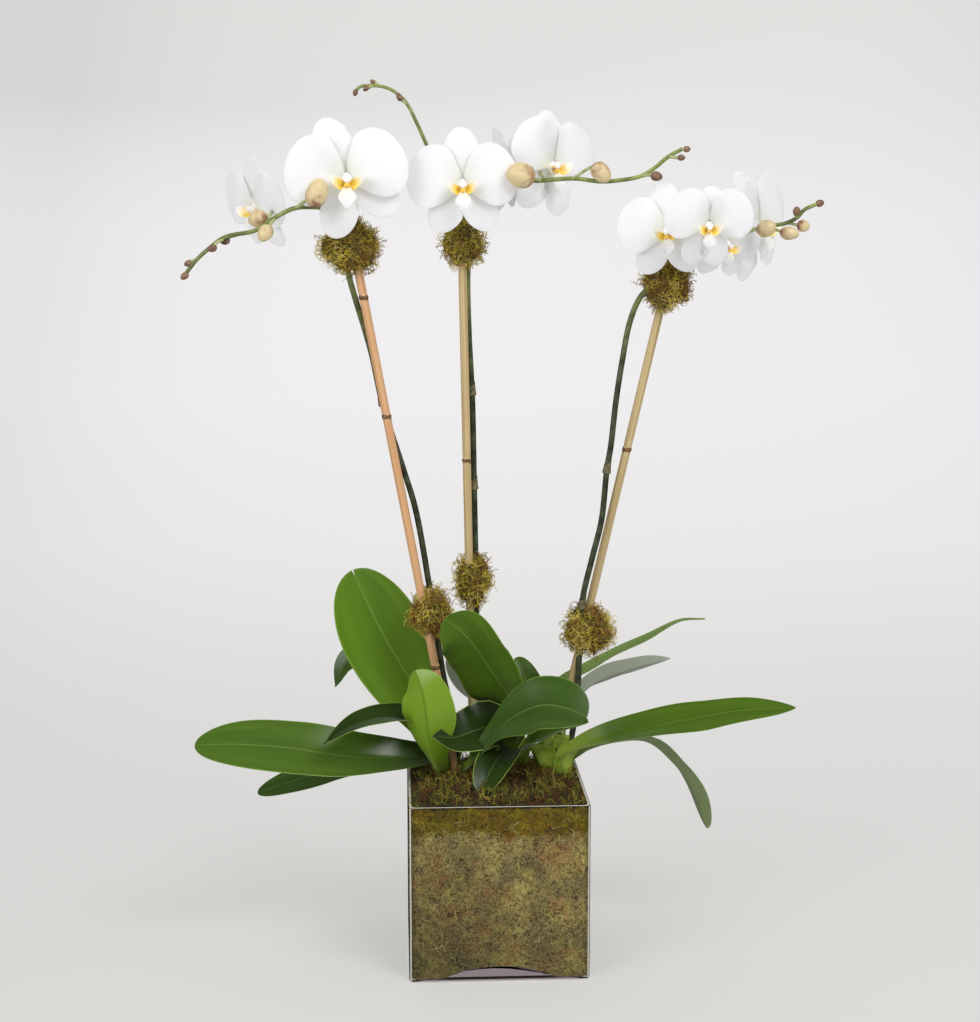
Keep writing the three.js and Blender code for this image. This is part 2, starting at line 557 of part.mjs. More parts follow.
// A whole flower stem: the stem, its collars, the spray, and the stalks of its blooms and buds.
function stemSolid(stem, blooms, grow = 0) {
  const parts = [
    rod(stem.path, STEM_RADIUS + grow, SIDES.stem, STEPS.stem),
    rod(stem.spray, SPRAY_RADIUS + grow, SIDES.stem, STEPS.spray),
    ...stem.joints.map((share) => collar(stem.path, share, STEM_RADIUS + grow)),
  ];
  if (stem.side) parts.push(rod(stem.side, SPRAY_RADIUS + grow, SIDES.stem, STEPS.side));
  for (const bud of stem.buds) {
    parts.push(rod([...bud.stalk, bud.at], STALK_RADIUS + grow, SIDES.stalk, STEPS.budStalk));
    parts.push(budSolid(bud, grow));
  }
  for (const bloom of blooms) {
    parts.push(rod(stalkPath(bloom), STALK_RADIUS + grow, SIDES.stalk, STEPS.stalk));
  }
  return joined(parts);
}

// A crown: the short stout stem that a plant's leaves and flower stem grow from.
function crownSolid(crown, grow = 0) {
  const [halfX, halfY] = crown.half.map((half) => half + grow);
  const bottom = ROOTS.top + GAP - grow;
  const top = crown.top + grow;
  const profile = [
    [0, bottom],
    [0.62, bottom],
    [0.7, bottom + 20],
    [1, top - 7],
    [0.7, top],
    [0, top - 3],
  ];
  return solidOf(turned(profile, SIDES.crown).scale(halfX, halfY, 1).translate(...crown.at, 0));
}

// A clump of moss: a lumpy ball.
function ballSolid(ball) {
  const random = seededRandom(ball.seed);
  const geometry = new THREE.IcosahedronGeometry(1, 1);
  geometry.deleteAttribute("normal");
  geometry.deleteAttribute("uv");
  const merged = mergeVertices(geometry, 1e-4);
  const position = merged.attributes.position;
  for (let k = 0; k < position.count; k += 1) {
    const swell = 0.94 + 0.16 * random();
    position.setXYZ(k, position.getX(k) * swell, position.getY(k) * swell, position.getZ(k) * swell);
  }
  return solidOf(merged.scale(...ball.half).translate(...ball.at));
}

// The domed floor of the vase, as a low cap that is cut out of what stands on it.
function floorDome(lift) {
  const shares = [1.3, 1, 0.86, 0.7, 0.5, 0];
  const rise = FLOOR.middle - FLOOR.edge;
  const cap = shares.map((share) => [FLOOR.reach * share,
    FLOOR.edge + rise * Math.max(0, 1 - share ** 4) + lift]);
  return solidOf(turned([[0, 0], [FLOOR.reach * shares[0], 0], ...cap], 16));
}

function vaseSolid() {
  const outer = roundedPrism(VASE.side / 2, VASE.corner, 0, VASE.side, 1);
  const cavity = roundedPrism(INNER_HALF, VASE.innerCorner, 1, VASE.side + 5);
  return outer.subtract(cavity.subtract(floorDome(0)));
}

// Moss packed against the glass, a cup around the roots.
function liningSolid() {
  const block = roundedPrism(INNER_HALF - GAP, VASE.innerCorner, 1, ROOTS.top);
  return block.subtract(floorDome(GAP)).subtract(rootsSolid(GAP));
}

// The bark and roots of the three plants, pressed into one block.
function rootsSolid(grow = 0) {
  const { half, corner, bottom, top } = ROOTS;
  return roundedPrism(half + grow, corner + grow, bottom - grow, top + grow);
}

// The moss over the top: a low mound with lumps, inside the rim.
function mossTopSolid() {
  const bottom = ROOTS.top + GAP;
  const random = seededRandom(5);
  const { edge, mound, lumps, cells } = MOSS;
  const half = INNER_HALF + 3;
  const geometry = new THREE.BoxGeometry(2, 2, 1, cells, cells, 1);
  geometry.deleteAttribute("normal");
  geometry.deleteAttribute("uv");
  const merged = mergeVertices(geometry, 1e-4);
  const position = merged.attributes.position;
  for (let k = 0; k < position.count; k += 1) {
    const [x, y] = [position.getX(k), position.getY(k)];
    const top = edge + mound * (1 - x ** 2) * (1 - y ** 2) + lumps * (2 * random() - 1);
    position.setXYZ(k, half * x, half * y, position.getZ(k) > 0 ? top : bottom);
  }
  return solidOf(merged).intersect(roundedPrism(INNER_HALF - GAP, VASE.innerCorner, bottom,
    VASE.side + 40));
}

const orchids = new THREE.Group();

// Adds one named piece to the group.
function piece(name, solid, material) {
  const { vertProperties, triVerts } = solid.getMesh();
  const geometry = new THREE.BufferGeometry();
  geometry.setAttribute("position", new THREE.BufferAttribute(vertProperties, 3));
  geometry.setIndex(new THREE.BufferAttribute(triVerts, 1));
  geometry.computeVertexNormals();
  const mesh = new THREE.Mesh(geometry, material);
  mesh.name = name;
  orchids.add(mesh);
}

// Stakes and flower stems come first, and what they pass through is cut clear of them.
const bloomsOf = (stem) => BLOOMS.filter((bloom) => bloom.name.startsWith(stem.blooms));
const stakesGrown = STAKES.map((stake) => stakeSolid(stake, GAP));
const stemsGrown = STEMS.map((stem) => stemSolid(stem, bloomsOf(stem), GAP));
const crownsGrown = CROWNS.map((crown) => crownSolid(crown, GAP));
const leavesGrown = LEAVES.map((leaf) => leafSolid(leaf, GAP));
const inTheMoss = [...stakesGrown, ...stemsGrown, ...crownsGrown];

piece("vase", vaseSolid(), FINISH.glass);
piece("moss_lining", liningSolid(), FINISH.moss);
piece("root_ball", cutBy(rootsSolid(), stakesGrown), FINISH.roots);
piece("moss_top", cutBy(mossTopSolid(), [...inTheMoss, ...leavesGrown]), FINISH.moss);
for (const stake of STAKES) piece(stake.name, stakeSolid(stake), FINISH.bamboo);
for (const stem of STEMS) piece(stem.name, cutBy(stemSolid(stem, bloomsOf(stem)), stakesGrown),
  FINISH.stem);
for (const crown of CROWNS) {
  piece(crown.name, cutBy(crownSolid(crown), [...stakesGrown, ...stemsGrown]), FINISH.leaf);
}
LEAVES.forEach((leaf, k) => {
  const earlier = leavesGrown.slice(0, k);
  piece(leaf.name, cutBy(leafSolid(leaf), [...inTheMoss, ...earlier]), FINISH.leaf);
});
for (const ball of BALLS) {
  piece(ball.name, cutBy(ballSolid(ball), [...stakesGrown, ...stemsGrown]), FINISH.moss);
}
for (const bloom of BLOOMS) piece(bloom.name, cutBy(bloomSolid(bloom), stemsGrown), FINISH.petal);

export default orchids;
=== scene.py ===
"""Three moth orchids in a square clear glass vase, tied to bamboo stakes with balls of moss.

All sizes in the tables are millimetres. MM turns them to metres as each mesh is made.
"""

import bisect
import math
import random

import bmesh
import bpy
from mathutils import Matrix, Vector, noise


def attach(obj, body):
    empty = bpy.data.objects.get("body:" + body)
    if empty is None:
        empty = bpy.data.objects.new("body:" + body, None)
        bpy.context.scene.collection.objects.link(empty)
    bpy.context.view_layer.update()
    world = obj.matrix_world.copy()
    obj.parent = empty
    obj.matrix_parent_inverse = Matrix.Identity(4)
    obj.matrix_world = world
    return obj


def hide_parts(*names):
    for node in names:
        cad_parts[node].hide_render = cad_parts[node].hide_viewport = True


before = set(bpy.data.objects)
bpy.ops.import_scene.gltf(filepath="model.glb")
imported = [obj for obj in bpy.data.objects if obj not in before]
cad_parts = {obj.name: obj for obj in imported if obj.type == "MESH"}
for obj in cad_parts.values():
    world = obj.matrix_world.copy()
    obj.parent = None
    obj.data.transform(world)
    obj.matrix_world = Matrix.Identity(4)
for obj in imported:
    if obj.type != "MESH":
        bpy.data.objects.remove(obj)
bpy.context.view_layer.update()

MM = 0.001
UP = Vector((0, 0, 1))

# The vase: a six inch cube of clear glass with a thick floor that is domed up inside.
VASE = dict(side=152.4, wall=3.2, corner=5, inner_corner=4, floor_middle=22.5, floor_edge=2,
            dome=88)
INNER_HALF = VASE["side"] / 2 - VASE["wall"]

# How far the moss stands off the floor of the vase, and how far it is pressed into its walls, so
# that no air shows between them.
GLASS_GAP = 0.3
PRESSED = 0.2

# The roots inside the moss, and the low mound of moss over them.
ROOTS = dict(half=60.3, corner=24, bottom=35.7, top=138)
MOSS_TOP = dict(edge=151, mound=10)

# Radii of the round parts, and the height of the stakes' lower ends in the roots.
STAKE_RADIUS = 3.6
STAKE_BOTTOM = 60
STEM_RADIUS = 2.5
SPRAY_RADIUS = 1.9
STALK_RADIUS = 1.3

LEAF_THICKNESS = dict(middle=2.0, edge=1.1, rib=0.6)
PETAL_THICKNESS = 0.8

# One bloom at full size, in a frame with x to its right, y up and z towards its viewer. Rise,
# arch, recurve and crown bend a petal out of flat. It is widest at its peak, claw is the width of
# its root as a share of that, and round makes its end blunt.
SEPAL = dict(width=33, rise=-3.8, arch=1, recurve=5, crown=2, peak=0.52, claw=0.26, round=2.0)
PETAL = dict(width=61, rise=1, arch=3, recurve=3, crown=2.2, peak=0.5, claw=0.26, round=2.3)
TEPALS = [
    dict(SEPAL, angle=0, length=55, width=34),
    dict(SEPAL, angle=146, length=51),
    dict(SEPAL, angle=-146, length=51, rise=-5.2),
    dict(PETAL, angle=72, length=54),
    dict(PETAL, angle=-72, length=54),
]

# Where petals start from the middle of a bloom, the hub that holds them, and how deep behind it the
# stalk ends and how far before that end it turns.
TEPAL_START = 4
HUB = dict(back=-7, front=1.6)
STALK_DEPTH = 5
STALK_BEND = 12

STAKES = [
  dict(name="stake_left", foot=[-34.4, 8, 160], head=[-119, 2, 618], joints=[253, 471, 571]),
  dict(name="stake_centre", foot=[-17, 45, 158], head=[-27, 22, 612], joints=[430]),
  dict(name="stake_right", foot=[53.5, 36, 160], head=[144.5, 0, 584], joints=[441]),
]

CROWNS = [
  dict(name="crown_left", at=[-40, 25], half=[12.5, 10.5], top=180),
  dict(name="crown_centre", at=[19, 30], half=[16, 11], top=184),
  dict(name="crown_right", at=[55, 19], half=[20, 11.5], top=184),
]

# Each flower stem: its path, and those of its spray and of its side spray, its joints as shares of
# the path, and its buds, each on its stalk with its middle, its two radii and its aim.
STEMS = [
  dict(
    name="spike_left",
    blooms="bloom_left",
    path=[[-33, 27, 160], [-33, 19, 190], [-42, 12.5, 230], [-49, 12.5, 273], [-56, 12.5, 321],
      [-68, 12, 391], [-78, 12, 425], [-95, 10.5, 480], [-105, 9.5, 527], [-117, 6, 569],
      [-121.5, 0, 586], [-125, -6, 606]],
    spray=[[-125, -6, 604], [-131, -14, 634], [-140, -24, 643.5], [-151, -33, 645],
      [-164, -40, 644], [-177, -46, 638], [-196, -51, 626], [-219, -54, 621], [-232, -56, 612],
      [-242, -56, 603], [-251, -56, 592]],
    joints=[0.3, 0.72],
    buds=[
      dict(stalk=[[-164, -40, 644], [-156, -46, 649]], at=[-146, -48, 656], radii=[9, 12],
        aim=[0.35, -0.1, 1]),
      dict(stalk=[[-182, -47, 634], [-187, -44, 639]], at=[-194, -42, 635.5], radii=[7, 8],
        aim=[-1, 0.2, -0.3]),
      dict(stalk=[[-180, -47, 635], [-183, -56, 631]], at=[-187, -60, 624], radii=[6, 7.5],
        aim=[-0.5, -0.4, -0.8]),
      dict(stalk=[[-211, -53, 622], [-216, -50, 621]], at=[-220, -48, 618], radii=[3.4, 4.2],
        aim=[-1, 0.4, -0.3]),
      dict(stalk=[[-221, -54.5, 619], [-226, -60, 616]], at=[-229, -62, 612], radii=[3, 4],
        aim=[-1, -0.4, -0.3]),
      dict(stalk=[[-242, -56, 603], [-246, -55, 602]], at=[-249, -55, 600], radii=[2.6, 3.4],
        aim=[-1, 0, -0.4]),
      dict(stalk=[[-249, -56, 595], [-251, -56, 592]], at=[-252, -56, 590], radii=[2.8, 3.8],
        aim=[-1, 0, -0.8]),
    ],
  ),
  dict(
    name="spike_centre",
    blooms="bloom_centre",
    path=[[12, 33, 160], [-4, 42, 185], [-13, 51, 230], [-14, 47, 286], [-15, 42, 341],
      [-16.5, 37.5, 412], [-18, 34, 482], [-21, 32.5, 542], [-22, 31.5, 585], [-21, 29.5, 608]],
    spray=[[-21, 29.5, 606], [-18, 24, 634], [-10, 14, 653], [4, 4, 663], [19, -4, 667],
      [36, -12, 667], [64, -20, 668.5], [85, -24, 666], [101, -26, 667], [117, -28, 670],
      [129, -30, 677], [140, -30, 686], [151, -30, 692]],
    joints=[0.56, 0.74],
    side=[[-20, 28, 618], [-24, 30, 632], [-35, 33, 654], [-47, 36, 677], [-55, 36, 695],
      [-64, 36, 715], [-72, 36, 731], [-79, 36, 739], [-89, 36, 745], [-101, 36, 747],
      [-112, 36, 746], [-116, 36, 742]],
    buds=[
      dict(stalk=[[38, -12, 667], [28, -20, 669]], at=[19, -26, 671], radii=[10.5, 12.5],
        aim=[-1, -0.4, 0.2]),
      dict(stalk=[[62, -20, 668], [76, -26, 677], [81, -28, 678]], at=[85, -29, 673],
        radii=[7.5, 9.5], aim=[0.7, -0.1, -0.8]),
      dict(stalk=[[117, -28, 670], [124, -32, 671]], at=[130, -33, 670], radii=[4, 5],
        aim=[1, -0.1, -0.2]),
      dict(stalk=[[140, -30, 686], [146, -33, 685]], at=[150, -34, 685], radii=[2.6, 3.2],
        aim=[1, -0.2, 0]),
      dict(stalk=[[150, -30, 692], [153, -30, 692]], at=[155, -30, 692], radii=[2.6, 3],
        aim=[1, 0, 0]),
      dict(stalk=[[-73, 36, 732], [-77, 34, 735]], at=[-79, 33, 737], radii=[2.6, 3.4],
        aim=[-0.8, 0, 1]),
      dict(stalk=[[-95, 36, 746], [-99, 37, 749]], at=[-101, 38, 750], radii=[2, 3],
        aim=[-1, 0, 0.6]),
      dict(stalk=[[-101, 36, 747], [-105, 34, 745]], at=[-107, 33, 744], radii=[2, 2.8],
        aim=[-1, 0, -0.6]),
      dict(stalk=[[-113, 36, 745], [-115, 36, 743]], at=[-116, 36, 741], radii=[2.2, 3],
        aim=[-0.3, 0, -1]),
    ],
  ),
  dict(
    name="spike_right",
    blooms="bloom_right",
    path=[[62, 19, 158], [70, 24, 190], [74, 25, 225], [75, 22, 257], [77, 16, 309], [84, 10, 345],
      [92, 8, 380], [96, 6, 424], [99, 4, 445], [103, 3, 484], [108, 3, 518], [114, 3, 550],
      [122, 2, 570], [132, -6, 582]],
    spray=[[131, -5, 581], [142, -9, 600], [154, -9, 614], [171, -6, 621], [190, -7, 623],
      [212, -16, 626.5], [225, -22, 630], [238, -26, 632], [248, -28, 637], [253, -30, 643],
      [264, -30, 648]],
    joints=[0.34, 0.62],
    buds=[
      dict(stalk=[[205, -13, 625], [214, -24, 627]], at=[222, -30, 628], radii=[7, 8.5],
        aim=[0.8, -0.5, 0.3]),
      dict(stalk=[[225, -22, 630], [232, -32, 626]], at=[240, -36, 624], radii=[5.5, 8],
        aim=[1, -0.2, -0.1]),
      dict(stalk=[[240, -26, 632.5], [248, -24, 631]], at=[254, -24, 630], radii=[5, 5.5],
        aim=[1, 0.2, -0.2]),
      dict(stalk=[[248, -28, 637], [245, -32, 640]], at=[246, -34, 642], radii=[3.2, 4],
        aim=[0, -0.6, 1]),
      dict(stalk=[[262, -30, 647], [264, -30, 648]], at=[266, -30, 648.5], radii=[3, 3.6],
        aim=[1, 0, 0.3]),
    ],
  ),
]

BALLS = [
  dict(name="moss_ball_left_upper", at=[-121, 2, 613], half=[27, 24, 26], seed=11),
  dict(name="moss_ball_left_lower", at=[-54.5, 12, 300], half=[20, 20, 25], seed=12),
  dict(name="moss_ball_centre_upper", at=[-26, 24, 616], half=[20, 20, 23], seed=13),
  dict(name="moss_ball_centre_lower", at=[-17, 42, 323], half=[18, 19, 26], seed=14),
  dict(name="moss_ball_right_upper", at=[144, 1, 583], half=[23, 22, 27], seed=15),
  dict(name="moss_ball_right_lower", at=[83, 24, 281], half=[23, 22, 26], seed=16),
]

# Each leaf: the path of its midrib, the way its upper face looks at root and tip, and how many
# degrees its halves fold up there. It is widest at its peak, and root, slow and taper shape its
# outline.
LEAVES = [
  dict(name="leaf_left_front_long", finish="root_in_painted_shade", width=57,
    face=[[0, -0.6, 0.8], [-0.1, -0.6, 0.8]], fold=[38, 5], peak=0.62,
    path=[[-45, 21, 164], [-58, 13, 169], [-84, 2, 172], [-130, -9, 178], [-176, -16, 188],
      [-219, -20, 193], [-257, -20, 193]]),
  dict(name="leaf_left_low", finish="dark", width=38, face=[[0, -0.3, 1], [-0.2, -0.5, 0.9]],
    fold=[35, 8], peak=0.55,
    path=[[-50, 32, 160], [-70, 42, 163], [-100, 47, 158], [-154, 50, 146], [-210, 50, 129]]),
  dict(name="leaf_left_curled", finish="fresh", width=51, face=[[0.3, 0.9, 0.2], [0.35, 0.85, 0.4]],
    fold=[40, 16], peak=0.64, root=0.4, slow=2.6,
    path=[[-48, 5, 156], [-53, -10, 176], [-58, -19, 198], [-60, -24, 218], [-63, -24, 238],
      [-69, -18, 256]]),
  dict(name="leaf_left_upright", finish="bright", width=77,
    face=[[-0.2, -0.95, 0.2], [-0.3, -0.85, 0.4]], fold=[40, 8], peak=0.6, notch=6,
    path=[[-43, 34, 166], [-55, 40, 202], [-74, 42, 235], [-94.5, 45, 270], [-110.5, 50, 302],
      [-123.5, 55, 330]]),
  dict(name="leaf_left_back", finish="dark", width=31, face=[[-0.6, 0, 0.8], [-0.35, -0.85, 0.3]],
    fold=[40, 12], peak=0.6, taper=0.9,
    path=[[-46, 35, 168], [-62, 60, 208], [-88, 80, 236], [-114, 90, 246], [-131, 93, 238],
      [-141, 93, 215]]),
  dict(name="leaf_left_arching", finish="painted_shade", width=40,
    face=[[-0.3, -0.5, 0.8], [-0.5, -0.5, 0.7]], fold=[40, 16], peak=0.4, taper=1,
    path=[[-48, 24, 172], [-60, 15, 193], [-77, 5, 205], [-94, -8, 211], [-111, -22, 212],
      [-128, -36, 209], [-146, -50, 201]]),
  dict(name="leaf_left_glossy", finish="dark", width=55,
    face=[[-0.5, -0.5, 0.7], [0.3, -0.75, 0.6]], fold=[45, 10], peak=0.77, root=0.24, slow=5.5,
    path=[[-31, 19, 158], [-23, 2, 164], [-14, -12, 181], [0, -25, 203], [18, -40, 222],
      [37, -51, 232], [55, -60, 232], [73, -67, 226]]),
  dict(name="leaf_centre_upright", width=72, face=[[-0.8, -0.55, 0.3], [-0.6, -0.7, 0.4]],
    fold=[40, 10], peak=0.5,
    path=[[20, 27, 174], [23, 16, 199], [15, 5, 223], [1, -4, 246], [-13, -12, 268],
      [-27, -18, 287], [-44, -20, 301]]),
  dict(name="leaf_centre_left", finish="painted_shade", width=48,
    face=[[-0.2, -0.9, 0.3], [-0.3, -0.8, 0.5]], fold=[30, 14], peak=0.35, taper=0.9,
    path=[[4, 20, 168], [3, 14, 185], [-5, 7, 198], [-19, -5, 198], [-36, -17, 196],
      [-55, -30, 201]]),
  dict(name="leaf_centre_back", finish="grey", width=40, face=[[0, -0.9, 0.3], [0.2, 0.9, 0.3]],
    fold=[40, 12], peak=0.55,
    path=[[12, 34, 166], [-8, 60, 190], [-20, 76, 218], [-38, 86, 244]]),
  dict(name="leaf_centre_front", finish="painted_shade", width=34,
    face=[[0, -0.4, 0.9], [-0.2, -0.9, 0.3]], fold=[42, 20], peak=0.5,
    path=[[19, 24, 168], [11, 2, 178], [-3, -26, 173], [-15, -48, 155]]),
  dict(name="leaf_centre_right", width=34, face=[[0, -0.5, 0.85], [0.3, -0.6, 0.8]], fold=[44, 36],
    peak=0.5,
    path=[[25, 25, 170], [38, 10, 185], [58, -1, 198], [80, -13, 207]]),
  dict(name="leaf_right_long", width=43, face=[[0, -0.35, 0.94], [0.1, -0.4, 0.9]], fold=[38, 6],
    peak=0.55, taper=0.75,
    path=[[60, 13, 171], [80, 11, 180], [100, 14, 185], [135, 18, 192], [175, 18, 200],
      [221, 12, 209], [265, 8, 212]]),
  dict(name="leaf_right_drooping", finish="dull", width=42, face=[[0, -0.1, 1], [0.85, 0.4, 0.35]],
    fold=[38, 12], peak=0.6,
    path=[[66, 20, 162], [82, 36, 168], [109, 46, 173], [140, 50, 172], [163, 50, 153],
      [181, 48, 129], [195, 46, 91]]),
  dict(name="leaf_right_thin", finish="dull", width=18, face=[[-0.2, -0.2, 1], [0.1, -0.1, 1]],
    fold=[40, 14], peak=0.35, taper=0.8,
    path=[[54, 20, 172], [51, 42, 200], [58, 64, 213], [70, 79, 221], [88, 88, 229], [111, 97, 240],
      [144, 106, 253], [178, 112, 269], [202, 116, 270]]),
  dict(name="leaf_right_raised", finish="grey", width=44, face=[[0.1, 0.55, 0.8], [-0.2, 0.7, 0.7]],
    fold=[36, 12], peak=0.36, taper=0.8,
    path=[[62, 27, 172], [68, 48, 200], [88, 68, 218], [124, 86, 229], [168, 105, 235]]),
  dict(name="leaf_right_back", width=28, face=[[0, -0.9, 0.4], [0, -0.9, 0.4]], fold=[40, 14],
    peak=0.6,
    path=[[58, 23, 172], [42, 50, 196], [33, 78, 222], [25, 92, 241]]),
]

# Each bloom: its middle, the way it looks, its lean in degrees, its size as a share of the full
# one, and where its stalk leaves the spray. Angles turn its sepals and petals.
BLOOMS = [
  dict(name="bloom_left_front", at=[-122, -37, 667], looks=[0.02, -1, 0], lean=0, size=0.95,
    angles=[-22, 119, -166, 62, -76], start=[-133, -16, 637]),
  dict(name="bloom_left_side", at=[-200, 14, 645.5], looks=[-0.75, -0.6, -0.25], lean=-4,
    size=0.77, start=[-190, -49.5, 630]),
  dict(name="bloom_centre_front", at=[-28, -20, 663], looks=[-0.02, -1, 0], lean=2, size=0.86,
    start=[-8, 12, 654]),
  dict(name="bloom_centre_back", at=[12, 44, 676], looks=[0.9, 0.4, 0.1], lean=-6, size=0.7,
    start=[0, 6, 661]),
  dict(name="bloom_centre_side", at=[49, 16, 680], looks=[0.5, -0.86, 0], lean=0, size=0.84,
    angles=[-3, 162, -140, 62, -45], start=[42, -14, 667]),
  dict(name="bloom_right_outer", at=[139, -31, 625], looks=[-0.12, -1, 0], lean=4, size=0.76,
    start=[150, -10, 610]),
  dict(name="bloom_right_front", at=[169, -60, 630], looks=[0, -0.97, -0.25], lean=0, size=0.7,
    angles=[3, 163, -156, 62, -62], dorsal=0.8, start=[171, -6, 621]),
  dict(name="bloom_right_side", at=[227, 28, 630], looks=[0.76, -0.65, 0], lean=0, size=0.94,
    angles=[-31, 125, -163, 42, -66], start=[206, -13, 625]),
  dict(name="bloom_right_low", at=[192.5, -17, 614.5], looks=[0.4, -0.87, -0.3], lean=-4, size=0.62,
    start=[186, -6.5, 623]),
]


def mix(a, b, share):
    return a + (b - a) * share


def along(values, share):
    """A value read between the entries of an evenly spaced list."""
    place = share * (len(values) - 1)
    low = min(int(place), len(values) - 2)
    return mix(values[low], values[low + 1], place - low)


def between(knots, share):
    """A point of a centripetal curve between the middle two of four knots."""
    before, here, there, after = knots
    first, gap, last = (max(1e-4, (b - a).length ** 0.5) for a, b in zip(knots, knots[1:]))
    leave = (here - before) / first - (there - before) / (first + gap) + (there - here) / gap
    reach = (there - here) / gap - (after - here) / (gap + last) + (after - there) / last
    leave, reach = leave * gap, reach * gap
    bend = -3 * here + 3 * there - 2 * leave - reach
    twist = 2 * here - 2 * there + leave + reach
    return here + leave * share + bend * share**2 + twist * share**3


class Trail:
    """A smooth path through points, walked by the share of its length."""

    STEPS = 16

    def __init__(self, points):
        knots = [Vector(point) for point in points]
        knots = [2 * knots[0] - knots[1], *knots, 2 * knots[-1] - knots[-2]]
        self.points = [
            between(knots[k : k + 4], step / self.STEPS)
            for k in range(len(knots) - 3)
            for step in range(self.STEPS)
        ] + [knots[-2]]
        self.walked = [0]
        for here, there in zip(self.points, self.points[1:]):
            self.walked.append(self.walked[-1] + (there - here).length)
        last = len(self.points) - 1
        self.ways = [
            (self.points[min(k + 1, last)] - self.points[max(k - 1, 0)]).normalized()
            for k in range(last + 1)
        ]

    @property
    def length(self):
        return self.walked[-1]

    def at(self, share):
        """The point and the direction at a share of the length."""
        goal = min(max(share, 0), 1) * self.length
        k = min(max(bisect.bisect(self.walked, goal) - 1, 0), len(self.walked) - 2)
        part = (goal - self.walked[k]) / (self.walked[k + 1] - self.walked[k])
        way = self.ways[k].lerp(self.ways[k + 1], part).normalized()
        return self.points[k].lerp(self.points[k + 1], part), way


def skin(bm, around, rows, place, slot=0):
    """Adds a closed skin in millimetres, with its faces outward: place(x, y) gives its points,
    where x from 0 to 1 runs once round it and y from 0 to 1 from one closed end to the other."""
    uv = bm.loops.layers.uv.verify()
    corners = bmesh.ops.create_grid(bm, x_segments=around, y_segments=rows, size=0.5)["verts"]
    faces = list(dict.fromkeys(face for corner in corners for face in corner.link_faces))
    for face in faces:
        face.material_index = slot
        for loop in face.loops:
            loop[uv].uv = (loop.vert.co.x + 0.5, loop.vert.co.y + 0.5)
    for corner in corners:
        corner.co = Vector(place(corner.co.x + 0.5, corner.co.y + 0.5)) * MM
    bmesh.ops.remove_doubles(bm, verts=corners, dist=1e-6)
    faces = [face for face in faces if face.is_valid]
    start, volume = faces[0].calc_center_median(), 0
    for face in faces:
        face.normal_update()
        volume += face.calc_area() * face.normal.dot(face.calc_center_median() - start)
    if volume < 0:
        bmesh.ops.reverse_faces(bm, faces=faces)


def blade(bm, middle, thickness, around, rows, slot=0):
    """Adds a thin closed blade with round edges. middle(s, t) gives the point and the normal of
    its middle layer, where s runs from root to tip and t from -1 to 1 across."""

    def place(x, y):
        turn = 2 * math.pi * x
        t, side = math.cos(turn), math.sin(turn)
        s = math.sin(y * math.pi / 2)
        point, normal = middle(s, t)
        closing = math.sqrt(max(0, 1 - abs(2 * y - 1) ** 10))
        depth = thickness(s, t) / 2 * math.copysign(abs(side) ** 0.6, side) * closing
        return point + normal * depth

    skin(bm, around, rows, place, slot)


def tube(bm, points, radius, around, rows, slot=0, swell=None):
    """Adds a round tube along a path, with flat ends. swell(s) thickens it along its length."""
    path = Trail(points)
    ways = [path.at(k / 8)[1] for k in range(9)]
    axes = [Vector((1, 0, 0)), Vector((0, 1, 0)), Vector((0, 0, 1))]
    steady = min(axes, key=lambda axis: max(abs(way.dot(axis)) for way in ways))

    def place(x, y):
        ring = round(y * rows)
        s = min(max((ring - 1) / (rows - 2), 0), 1)
        point, way = path.at(s)
        side = way.cross(steady).normalized()
        front = side.cross(way)
        size = 0 if ring in (0, rows) else radius * (swell(s) if swell else 1)
        turn = 2 * math.pi * x
        return point + (side * math.cos(turn) + front * math.sin(turn)) * size

    skin(bm, around, rows, place, slot)


def turned(bm, at, aim, profile, around, rows, slot=0):
    """Adds a turned body. profile(x, y) gives a radius and a height along its axis."""
    turn = UP.rotation_difference(Vector(aim)).to_matrix()

    def place(x, y):
        radius, height = profile(x, y)
        angle = 2 * math.pi * x
        local = Vector((radius * math.cos(angle), radius * math.sin(angle), height))
        return Vector(at) + turn @ local

    skin(bm, around, rows, place, slot)


def add_piece(bm, name, node, materials, sharp=40):
    """Makes a bmesh a piece of the arrangement that stands for a CAD node."""
    mesh = bpy.data.meshes.new(name)
    bm.to_mesh(mesh)
    bm.free()
    for material in materials:
        mesh.materials.append(material)
    mesh.shade_smooth()
    mesh.set_sharp_from_angle(angle=math.radians(sharp))
    piece = bpy.data.objects.new(name, mesh)
    bpy.context.scene.collection.objects.link(piece)
    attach(piece, "root")
    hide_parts(node)


# Materials

def srgb(code):
    """A linear colour from an sRGB hex code."""
    parts = [int(code[k : k + 2], 16) / 255 for k in (1, 3, 5)]
    return (*(p / 12.92 if p <= 0.04045 else ((p + 0.055) / 1.055) ** 2.4 for p in parts), 1)


def plug(tree, value, socket):
    """Sets an input to a number or a hex colour, or links it to an output. A node stands for the
    first of its outputs that is in use."""
    if isinstance(value, bpy.types.Node):
        value = next(output for output in value.outputs if output.enabled)
    if isinstance(value, bpy.types.NodeSocket):
        tree.links.new(value, socket)
    else:
        socket.default_value = srgb(value) if isinstance(value, str) else value


def add(tree, kind, inputs, stops=(), **settings):
    """Adds a node with its settings, its ramp stops, and its input values or links. A Mix node
    mixes colours."""
    node = tree.nodes.new("ShaderNode" + kind)
    if kind == "Mix":
        node.data_type = "RGBA"
    for name, value in settings.items():
        setattr(node, name, value)
    for k, (place, code) in enumerate(stops):
        elements = node.color_ramp.elements
        element = elements[k] if k < 2 else elements.new(place)
        element.position = place
        element.color = srgb(code)
    for socket, value in inputs.items():
        plug(tree, value, node.inputs[socket])
    return node


